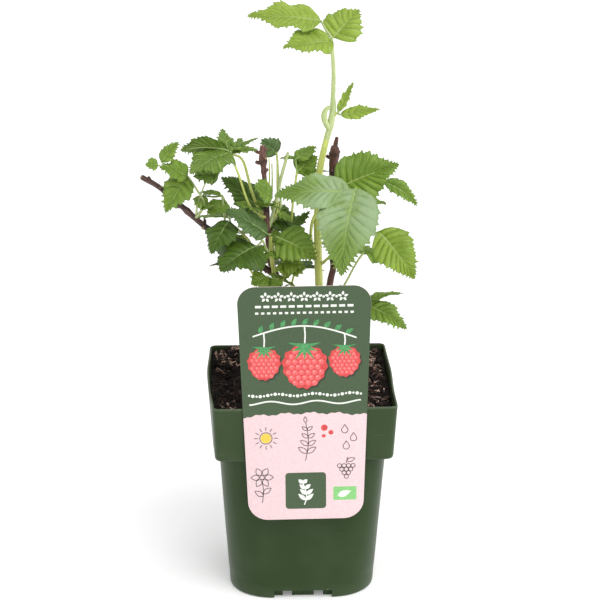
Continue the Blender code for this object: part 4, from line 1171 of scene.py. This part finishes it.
def build_soil():
    dark = speckled("soil_dark", (32, 25, 22), (10, 8, 7), 420, 0.9, 0.1, 0.8, 0.6,
                    Specular_IOR_Level=0.25)
    brown = speckled("soil_brown", (84, 60, 50), (28, 20, 16), 300, 0.85, 0.1, 0.7, 0.5,
                     Specular_IOR_Level=0.3)
    tan = speckled("soil_fibre", (226, 196, 178), (140, 106, 92), 200, 0.75, 0.1, 0.4, 0.3)
    half, radius, _ = collar_section(SOIL_LEVEL, WALL + SOIL_GAP)

    def place(across, along):
        x, y = across * 2 - 1, along * 2 - 1
        out = np.maximum(np.abs(x), np.abs(y))
        turn = np.arctan2(y, x)
        shrink = square_reach(turn, 1.0, radius / half)
        shrink = shrink * np.maximum(np.abs(np.cos(turn)), np.abs(np.sin(turn)))
        x, y = (side * half * (1 - (1 - shrink) * out**4) for side in (x, y))
        return np.stack([x + bend(x, y, np.array(SOIL_LEVEL)), y, soil_height(x, y)], 1)

    ground = formed_grid("soil_ground", SOIL_CELLS, SOIL_CELLS, place)
    with editing(ground, "DESELECT"):
        bpy.ops.mesh.select_non_manifold()
        bpy.ops.mesh.extrude_region()
    drop_ring(ground, *collar_section(114, WALL + SOIL_GAP))
    for ring in (body_section(111.5, WALL + 0.4), body_section(FLOOR_TOP + SOIL_GAP, WALL + 0.9)):
        with editing(ground, None):
            bpy.ops.mesh.extrude_region()
        drop_ring(ground, *ring)
    with editing(ground, None):
        bpy.ops.mesh.edge_face_add()
        face_outwards()
    hand_over(dress(ground, dark), ["soil"], smooth=180)
    chance = random.Random("soil")
    lump = primitive_shape(bpy.ops.mesh.primitive_ico_sphere_add, subdivisions=2, radius=1)
    speck = primitive_shape(bpy.ops.mesh.primitive_ico_sphere_add, subdivisions=1, radius=1)
    chip = primitive_shape(bpy.ops.mesh.primitive_cube_add, size=2)

    def scatter(name, shape, look, smooth, count, pick, *settings):
        made = scattered(name, shape, [pick(chance, *settings) for _ in range(count)])
        hand_over(dress(made, look), smooth=smooth)

    scatter("soil_crumbs", lump, dark, 30, CRUMBS, crumb_place, half, (0.9, 2.6))
    scatter("soil_brown_crumbs", lump, brown, 30, CRUMBS // 4, crumb_place, half, (0.8, 2.0))
    scatter("soil_fine_crumbs", speck, dark, 30, FINE_CRUMBS, crumb_place, half, (0.35, 1.0))
    scatter("soil_brown_specks", speck, brown, 30, FINE_CRUMBS // 2, crumb_place, half, (0.3, 0.9))
    scatter("soil_flecks", speck, tan, 30, FLECKS, crumb_place, half, (0.3, 1.2), pale_spot)
    scatter("soil_heap", lump, dark, 30, HEAPED, heap_place)
    fibres = [fibre(chance, half, index) for index in range(FIBRES)]
    build_strips("soil_fibres", fibres[1::2], tan)
    build_strips("soil_roots", fibres[::2], brown)
    scatter("soil_chips", chip, brown, 20, CHIPS, chip_place, half)


def drop_ring(piece, half, radius, height):
    """Moves the selected points onto a rounded square at a height."""
    for vert in piece.data.vertices:
        if vert.select:
            turn = np.array(math.atan2(vert.co.y, vert.co.x))
            reach = float(square_reach(turn, half, radius))
            vert.co = (reach * math.cos(turn) * MM, reach * math.sin(turn) * MM, height * MM)


def soil_spot(chance, half):
    """A random place on the soil, kept off the canes' feet and inside the wall."""
    while True:
        x, y = (chance.uniform(-1, 1) * (half - WALL_MARGIN) for _ in range(2))
        if all(math.hypot(x - p[0][0], y - p[0][1]) > CANE_MARGIN for p in STEMS.values()):
            return x, y, height_at(x, y)


def pale_spot(chance, half):
    """A random place where the photo shows pale flecks: the back and the right of the soil."""
    while True:
        x, y, z = soil_spot(chance, half)
        patch = noise.noise(Vector((x, y, 5)) / 15)
        # The flecks are real, but gathering them on the lit back and right and thinning them on the shaded
        # left paints light and shade.
        if patch + (0.55 if y > 32 else 0.12 if x > 20 else -0.5) > chance.uniform(-0.2, 0.5):
            return x, y, z


def any_turn(chance):
    return Matrix.Rotation(chance.uniform(0, 6.3), 4, (chance.random(), chance.random(), 1))


def jittered(chance, reach, count=13):
    return [chance.uniform(-reach, reach) for _ in range(count)]


def crumb_place(chance, half, sizes, spot=soil_spot):
    x, y, z = spot(chance, half)
    size = chance.uniform(*sizes) ** 1.4 / sizes[1] ** 0.4
    wide, deep = size * chance.uniform(0.7, 1.3), size * chance.uniform(0.7, 1.2)
    scale = Matrix.Diagonal((wide, deep, size * 0.75, 1))
    return Matrix.Translation((x, y, z + size * 0.25)) @ any_turn(chance) @ scale, jittered(chance, 0.3)


def heap_place(chance):
    """A crumb in the heaps that stand above the back rim on both sides of the label."""
    middle = chance.choice(HEAPS)
    x, y = middle[0] + chance.gauss(0, 3.4), min(61.5, middle[1] + chance.gauss(0, 1.6))
    size = chance.uniform(0.8, 1.8)
    high = POT_HEIGHT - 1 + 4.2 * chance.random() ** 1.5 - abs(x - middle[0]) * 0.25
    jitter = jittered(chance, 0.3)
    scale = Matrix.Diagonal((size, size * 0.8, size * 0.7, 1))
    return Matrix.Translation((x, y, high)) @ any_turn(chance) @ scale, jitter


def chip_place(chance, half):
    x, y, z = soil_spot(chance, half)
    long = chance.uniform(1.5, 4.5)
    scale = Matrix.Diagonal((long, chance.uniform(0.6, 1.5), chance.uniform(0.2, 0.5), 1))
    turn = Matrix.Rotation(chance.uniform(0, 6.3), 4, "Z")
    turn = turn @ Matrix.Rotation(chance.uniform(-0.6, 0.6), 4, "X")
    return Matrix.Translation((x, y, z + 0.5)) @ turn @ scale, jittered(chance, 0.25, 7)


def fibre(chance, half, index):
    """Points of a short bent fibre that lies on the soil."""
    x, y, z = pale_spot(chance, half - 1.5) if index % 2 else soil_spot(chance, half - 1.5)
    heading, length = chance.uniform(0, 6.3), chance.uniform(2, 9)
    radius = chance.uniform(0.14, 0.42)
    points = []
    for step in range(5):
        reach = (step - 2) / 4 * length
        swerve = chance.uniform(-0.9, 0.9)
        fx = x + math.cos(heading) * reach - math.sin(heading) * swerve
        fy = y + math.sin(heading) * reach
        fx, fy = (max(1 - half, min(half - 1, f)) for f in (fx, fy))
        points.append((fx, fy, height_at(fx, fy) + radius + chance.uniform(0, 1.6), radius))
    return points


def build_strips(name, rows, look):
    """Many thin five-point fibres as one mesh of three-sided tubes."""
    places, faces = [], []
    for points in rows:
        middles = np.array(points)[:, :3]
        one, two = cross_directions(middles)
        start = len(places)
        for index, point in enumerate(points):
            radius = point[3] * (0.3 if index in (0, 4) else 1)
            for turn in (0, math.tau / 3, 2 * math.tau / 3):
                out = one[index] * math.cos(turn) + two[index] * math.sin(turn)
                places.append(tuple((middles[index] + out * radius) * MM))
        for row in range(4):
            for side in range(3):
                a, b = start + row * 3 + side, start + row * 3 + (side + 1) % 3
                faces.append((a, b, b + 3, a + 3))
        faces += [(start + 2, start + 1, start), (start + 12, start + 13, start + 14)]
    hand_over(dress(mesh_piece(name, places, faces), look), smooth=80)


# Label

CARD_HEIGHT = LABEL_TOP - LABEL_FOOT
FIELD_LINE = 79  # height of the green field's lower edge on the card
INK = 0.05  # thickness of a printed shape
THIN = 0.5  # width of a drawn line
# On the card, from its foot: heights of its rows, its fruits and drops, and its red dots with their radii
BLOSSOM_ROW, DASH_ROW, SHORT_DASH_ROW, DOT_ROW, WAVE_ROW = 162.6, 156, 151.4, 92.5, 86.8
FRUITS = ((-27.5, 115, 22, 23), (0, 112.5, 30, 31), (27, 116, 21, 22))  # x, y, width, height
DROPS = ((27, 66), (33, 60), (28, 54))
RED_DOTS = ((13, 68, 2.3), (17.5, 64.5, 1.7), (12.6, 62, 1.3))
FACE = LABEL_THICKNESS / 2
# The card and its inks: light, dark, how fine their grain is, shine
INKS = {
    "card": ((234, 208, 210), (227, 198, 201), 900, 0.38),
    "green": ((64, 86, 55), (60, 81, 51), 500, 0.4),
    "white": ((240, 242, 236), (226, 230, 220), 900, 0.4),
    "red": ((222, 78, 74), (196, 56, 58), 700, 0.38),
    "leaf_green": ((84, 160, 96), (60, 132, 76), 700, 0.4),
    "line": ((92, 80, 82), (70, 60, 62), 900, 0.45),
    "rose": ((246, 112, 112), (238, 92, 96), 700, 0.38),
    "light": ((252, 168, 158), (248, 148, 140), 700, 0.38),
    "shade": ((40, 56, 36), (36, 50, 32), 700, 0.45),
    "yellow": ((240, 206, 84), (232, 192, 66), 700, 0.4),
    "chip": ((140, 206, 128), (128, 196, 116), 700, 0.4),
}
INK_FINISHES = {name: speckled("label_" + name, *look, 0.08, 0.05, 0.05) for name, look in INKS.items()}


def arc(middle, radius, start, stop, steps):
    return [(middle[0] + radius * math.cos(math.radians(a)), middle[1] + radius * math.sin(math.radians(a)))
            for a in np.linspace(start, stop, steps)]


def card_outline(inset=0.0):
    """The card's outline, anticlockwise from its lower right corner."""
    foot, top = LABEL_FOOT_WIDTH / 2 - inset, LABEL_TOP_WIDTH / 2 - inset
    low, high = LABEL_FOOT_ROUND - inset, LABEL_TOP_ROUND - inset
    points = arc((foot - low, inset + low), low, 270, 360, 12)
    points += arc((top - high, CARD_HEIGHT - inset - high), high, 0, 90, 12)
    points += arc((-top + high, CARD_HEIGHT - inset - high), high, 90, 180, 12)
    return points + arc((-foot + low, inset + low), low, 180, 270, 12)


def flat_shape(name, outline, thickness, level):
    """A flat outline as a filled circle primitive's points, given a thickness about level."""
    select_only()
    bpy.ops.mesh.primitive_circle_add(vertices=len(outline), fill_type="NGON")
    piece = bpy.context.object
    piece.name = name
    places = np.array([(x * MM, y * MM, level * MM) for x, y in outline])
    piece.data.vertices.foreach_set("co", places.ravel())
    piece.data.update()
    modify(piece, "SOLIDIFY", thickness=thickness * MM, offset=0)
    return piece


def on_card(piece):
    """Moves a piece from the card's own plane, x across and y up from its foot, to its place."""
    foot = Vector((LABEL_SIDE, -(RIM_WIDTH / 2 + LABEL_GAP + LABEL_THICKNESS / 2), LABEL_FOOT))
    tilt = Matrix.Rotation(math.radians(LABEL_TILT), 4, "Z")
    placed = Matrix.Translation(foot) @ Matrix.Rotation(math.pi / 2, 4, "X") @ tilt
    placed.translation *= MM
    piece.data.transform(placed)


def ink(name, shapes, tint, level=0):
    """Printed shapes of one colour as one thin piece on the card's face, over earlier inks."""
    height = FACE + INK * (0.4 + 0.6 * level)
    pieces = [flat_shape(f"{name}_{index}", shape, INK, height) for index, shape in enumerate(shapes)]
    piece = join(name, pieces)
    with editing(piece):
        face_outwards()
    on_card(piece)
    hand_over(dress(piece, INK_FINISHES[tint]), smooth=30)


def ribbon(points, width):
    """The outline of a line of some width through points."""
    line = np.array(points, float)
    along = np.gradient(line, axis=0)
    along /= np.linalg.norm(along, axis=1)[:, None]
    out = np.stack([-along[:, 1], along[:, 0]], 1) * width / 2
    return [tuple(p) for p in np.concatenate([line - out, (line + out)[::-1]])]


def disc(middle, radius, steps=20):
    return arc(middle, radius, 0, 360 - 360 / steps, steps)


def leaf_shape(base, heading, length, width):
    """A pointed oval leaf."""
    turn = math.radians(heading)
    points = []
    for side in (1, -1):
        for share in np.linspace(0, 1, 9)[:-1]:
            at = share if side == 1 else 1 - share
            off = side * width / 2 * math.sin(math.pi * at**0.8)
            points.append((base[0] + math.cos(turn) * at * length - math.sin(turn) * off,
                           base[1] + math.sin(turn) * at * length + math.cos(turn) * off))
    return points[::-1]


def build_label():
    plate = flat_shape("label_plate", card_outline(), LABEL_THICKNESS, 0)
    modify(plate, "BEVEL", width=0.18 * MM, segments=2, limit_method="ANGLE")
    on_card(plate)
    inner = -(RIM_WIDTH / 2 - WALL - LABEL_GAP - HOOK_DEPTH * COLLAR_SLOPE)
    over = POT_HEIGHT + LABEL_GAP
    outside = -(RIM_WIDTH / 2 + LABEL_GAP + LABEL_THICKNESS)
    back = inner + LABEL_THICKNESS
    bridge = bar("strap", (0, (outside + back) / 2, over + FACE),
                 (STRAP_WIDTH, back - outside, LABEL_THICKNESS))
    hook = bar("hook", (0, inner + FACE, over + LABEL_THICKNESS / 2 - HOOK_DEPTH / 2 + 0.2),
               (STRAP_WIDTH, LABEL_THICKNESS, HOOK_DEPTH + 0.4))
    for piece in (bridge, hook):
        modify(piece, "BEVEL", width=0.2 * MM, segments=2)
    card = dress(join("label_card", [plate, bridge, hook]), INK_FINISHES["card"])
    hand_over(card, ["label"], smooth=40)
    build_print()
    build_line_drawings()


def field_outline():
    """The green field: the card above a wavy line."""
    rim = [p for p in card_outline(0.05) if p[1] > FIELD_LINE]
    edge = (LABEL_FOOT_WIDTH + (LABEL_TOP_WIDTH - LABEL_FOOT_WIDTH) * FIELD_LINE / CARD_HEIGHT) / 2 - 0.05
    return [(x, FIELD_LINE + 0.7 * math.sin(x * 0.35) + 0.4 * math.sin(x * 1.1 + 1) - 0.0012 * x * x)
            for x in np.linspace(-edge, edge, 60)] + rim


def fruit_outline(middle, wide, high):
    """A plump fruit, narrower below, with a knobbly edge."""
    points = []
    for turn in range(0, 360, 6):
        angle = math.radians(turn)
        knob = 1 + 0.045 * math.cos(angle * 13)
        x = math.cos(angle) * wide / 2 * (1 + 0.16 * math.sin(angle))
        points.append((middle[0] + x * knob, middle[1] + math.sin(angle) * high / 2 * knob))
    return points


def inside_fruit(middle, wide, high, at, margin):
    x, y = at[0] - middle[0], at[1] - middle[1]
    up = y / (high / 2)
    return abs(up) < 0.86 and abs(x) < wide / 2 * math.sqrt(1 - up * up) * (1 + 0.16 * up) - margin


def calyx(middle, reach):
    """A star of drooping sepals round the top of a fruit."""
    points = []
    for index, turn in enumerate(range(165, 376, 35)):
        for lean, share in ((0, 1.0 if index % 2 == 0 else 0.8), (17, 0.34)):
            angle = math.radians(turn + lean)
            out = reach * share
            points.append((middle[0] + out * math.cos(angle), middle[1] + out * math.sin(angle)))
    return points


def blossom(middle, reach):
    """Five petals round a middle."""
    return [leaf_shape((middle[0] + 0.3 * reach * math.cos(math.radians(turn)),
                        middle[1] + 0.3 * reach * math.sin(math.radians(turn))), turn, reach, reach * 0.62)
            for turn in range(90, 450, 72)]


def build_print():
    """A generic garden design: fruits on an arching sprig, with rows of blossoms, dots and dashes."""
    ink("print_field", [field_outline()], "green")
    sprig = [(-35 + 70 * t, 135 + 8 * math.sin(math.pi * t) - 2 * t) for t in np.linspace(0, 1, 30)]
    leaves = [leaf_shape((sprig[i][0], sprig[i][1] + 0.7), 78 - i * 1.8, 6, 3.2) for i in range(2, 28, 3)]
    stalks, bodies, shades, lobes, lights = [], [], [], [], []
    for x, y, wide, high in FRUITS:
        bodies.append(fruit_outline((x, y), wide, high))
        shades.append(fruit_outline((x + 0.9, y - 1.2), wide, high))
        foot = sprig[min(29, max(0, round((x + 35) / 70 * 29)))][1]
        stalks.append(ribbon([(x, foot), (x + 0.4, (foot + y + high / 2) / 2), (x, y + high / 2)], 1.0))
        leaves.append(calyx((x, y + high / 2 - 0.8), wide * 0.4))
        size = wide / 30 * 4.4
        for row in range(-4, 5):
            for column in range(-5, 6):
                at = (x + (column + 0.5 * (row % 2)) * size, y + row * size * 0.86)
                if inside_fruit((x, y), wide, high, at, size * 0.42):
                    lobes.append(disc(at, size * 0.43, 14))
                    lights.append(disc((at[0] - size * 0.12, at[1] + size * 0.14), size * 0.14, 8))
    ink("print_shades", shades, "shade", 1)
    ink("print_fruits", bodies, "red", 2)
    ink("print_fruit_lobes", lobes, "rose", 3)
    ink("print_fruit_lights", lights, "light", 4)
    ink("print_leaves", leaves, "leaf_green", 5)
    dots = [disc((x, BLOSSOM_ROW), 0.9, 12) for x in np.linspace(-21.7, 21.7, 6)]
    dots += [disc((x, DOT_ROW + 0.8 * math.sin(x / 4)), 1.2 if i % 2 else 0.8, 12)
             for i, x in enumerate(np.linspace(-38, 38, 31))]
    dashes = [ribbon([(x, DASH_ROW), (x + 4.0, DASH_ROW)], 1.7) for x in np.linspace(-33, 29, 12)]
    dashes += [ribbon([(x, SHORT_DASH_ROW), (x + 2.2, SHORT_DASH_ROW)], 1.5)
               for x in np.linspace(-33, 31, 17)]
    wave = ribbon([(x, WAVE_ROW + 1.2 * math.sin(x / 5)) for x in np.linspace(-38, 38, 60)], 1.1)
    ink("print_white", stalks + dots + dashes + [wave], "white", 1)
    ink("print_sprig", [ribbon(sprig, 1.1)], "white", 3)
    petals = [petal for x in np.linspace(-26, 26, 7) for petal in blossom((x, BLOSSOM_ROW), 2.9)]
    ink("print_petals", petals, "white", 1)


def drawn_loop(points):
    return ribbon(points + points[:1], THIN)


def build_line_drawings():
    """Small drawings in thin dark lines on the pale field, a square and a chip."""
    sun = (-27, 61)
    drawn = [drawn_loop(disc(sun, 4.2, 30))]
    drawn += [ribbon(arc(sun, 5.6, turn, turn, 1) + arc(sun, 8.2, turn, turn, 1), THIN)
              for turn in range(0, 360, 30)]
    for x, y in DROPS:
        drawn.append(drawn_loop([(x, y + 4)] + arc((x, y), 2.2, 150, 390, 14)))
    drawn.append(ribbon([(-30, 13), (-29, 22), (-30, 29)], THIN))
    for turn in range(0, 360, 60):
        base = (-30 + 1.8 * math.cos(math.radians(turn)), 32 + 1.8 * math.sin(math.radians(turn)))
        drawn.append(drawn_loop(leaf_shape(base, turn, 6, 4)))
    drawn.append(drawn_loop(disc((-30, 32), 1.6, 16)))
    drawn += [drawn_loop(leaf_shape((-29.5, 19 + side), 90 - side * 55, 7, 3.4)) for side in (-1, 1)]
    drawn += sprig_drawing((0, 44), 28) + berry_drawing((28, 36))
    ink("print_lines", drawn, "line", 1)
    ink("print_sun", [disc(sun, 3.6, 30)], "yellow")
    ink("print_dots", [disc((x, y), radius) for x, y, radius in RED_DOTS], "red")
    ink("print_square", [rounded_box(-14, 8, 28, 27, 2.4)], "green")
    ink("print_chip", [rounded_box(19, 14, 16, 10, 0.8)], "chip")

    def spot(t):
        return 1.5 * math.sin(t * 4) - 1, 11 + 17 * t

    leaflets = [leaf_shape(spot(t), 90 - side * 48, 8 - 4 * t, 3)
                for t in (0.2, 0.45, 0.7, 0.95) for side in (-1, 1)]
    ink("print_square_sprig", leaflets, "white", 1)
    ink("print_square_stalk", [ribbon([spot(t) for t in np.linspace(0, 1, 14)], 0.8)], "white", 2)
    ink("print_chip_leaf", [leaf_shape((22, 17), 22, 10, 4.6)], "white", 1)


def sprig_drawing(foot, height):
    """The outline of an upright sprig with pairs of leaves."""
    def spot(t):
        return foot[0] + 2 * math.sin(t * 3), foot[1] + height * t

    drawn = [ribbon([spot(t) for t in np.linspace(0, 1, 16)], THIN)]
    drawn += [drawn_loop(leaf_shape(spot(t), 90 - side * 55, 8.5 - 5 * t, 3.8 - 2 * t))
              for t in (0.2, 0.4, 0.6, 0.8) for side in (-1, 1)]
    return drawn + [drawn_loop(leaf_shape(spot(1), 95, 4.5, 2.2))]


def berry_drawing(middle):
    """The outline of a small bunch of round berries."""
    x, y = middle
    drawn = [drawn_loop(disc((x + (i - (count - 1) / 2) * 3.1, y + 3.6 - row * 2.7), 1.45, 14))
             for row, count in enumerate((4, 3, 2, 1)) for i in range(count)]
    drawn.append(ribbon([(x, y + 5.4), (x + 0.8, y + 10)], THIN))
    return drawn + [drawn_loop(leaf_shape((x + 0.4, y + 7), 20, 6, 2.8))]


def rounded_box(x, y, width, height, radius):
    right, top = x + width - radius, y + height - radius
    left, low = x + radius, y + radius
    corners = ((right, low, 270), (right, top, 0), (left, top, 90), (left, low, 180))
    return [point for cx, cy, turn in corners for point in arc((cx, cy), radius, turn, turn + 90, 6)]


# Floor, light and camera

CAMERA_PLACE = (-0.0524, -1.3960, 0.6778)
CAMERA_TILT, CAMERA_TURN = 90 - 18.66, -2.135  # degrees
CAMERA_LENS = 126
SKY_STRENGTH, FLOOR_GLOW = 0.76, 0.2
SUN_POWER, SUN_ANGLE, SUN_HEADING = 1.5, 40, (-0.5, 0.8, -1.25)
# Area lights beside the plant: name, place, power
STRIPS = (("left_strip", (-1.1, -0.1, 0.3), 0.6), ("right_strip", (1.1, -0.15, 0.3), 2.2))


def build_stage():
    pale = speckled("floor_pale", (248, 248, 248), (246, 246, 246), 3, 0.7, 0.05, 0.02, 0.1,
                    Emission_Color=(1, 1, 1, 1), Emission_Strength=FLOOR_GLOW)
    select_only()
    bpy.ops.mesh.primitive_plane_add(size=14)
    floor = bpy.context.object
    floor.name = "floor"
    dress(floor, pale)


def add_light(name, kind, place, heading, power):
    bpy.ops.object.light_add(type=kind, location=place)
    light = bpy.context.object
    light.name = name
    light.data.energy = power
    light.rotation_euler = Vector(heading).to_track_quat("-Z", "Y").to_euler()
    return light.data


def build_light():
    world = bpy.context.scene.world or bpy.data.worlds.new("studio")
    bpy.context.scene.world = world
    world.use_nodes = True
    sky = world.node_tree.nodes["Background"]
    sky.inputs["Color"].default_value = (1.0, 1.0, 1.0, 1)
    sky.inputs["Strength"].default_value = SKY_STRENGTH
    sun = add_light("key_light", "SUN", (0.8, -1.2, 2.0), SUN_HEADING, SUN_POWER)
    sun.angle = math.radians(SUN_ANGLE)
    for name, place, power in STRIPS:
        add_light(name, "AREA", place, Vector((0, 0, 0.08)) - Vector(place), power).size = 0.6
    bpy.context.scene.view_settings.view_transform = "Standard"


def build_camera():
    bpy.ops.object.camera_add(location=CAMERA_PLACE)
    camera = bpy.context.object
    camera.name = "camera"
    camera.rotation_euler = (math.radians(CAMERA_TILT), 0, math.radians(CAMERA_TURN))
    camera.data.lens = CAMERA_LENS
    camera.data.sensor_width = 36
    bpy.context.scene.camera = camera


build_stage()
build_light()
build_camera()
build_pot()
build_soil()
build_label()
build_canes()
build_shoots()
build_leaves()

bpy.context.view_layer.update()
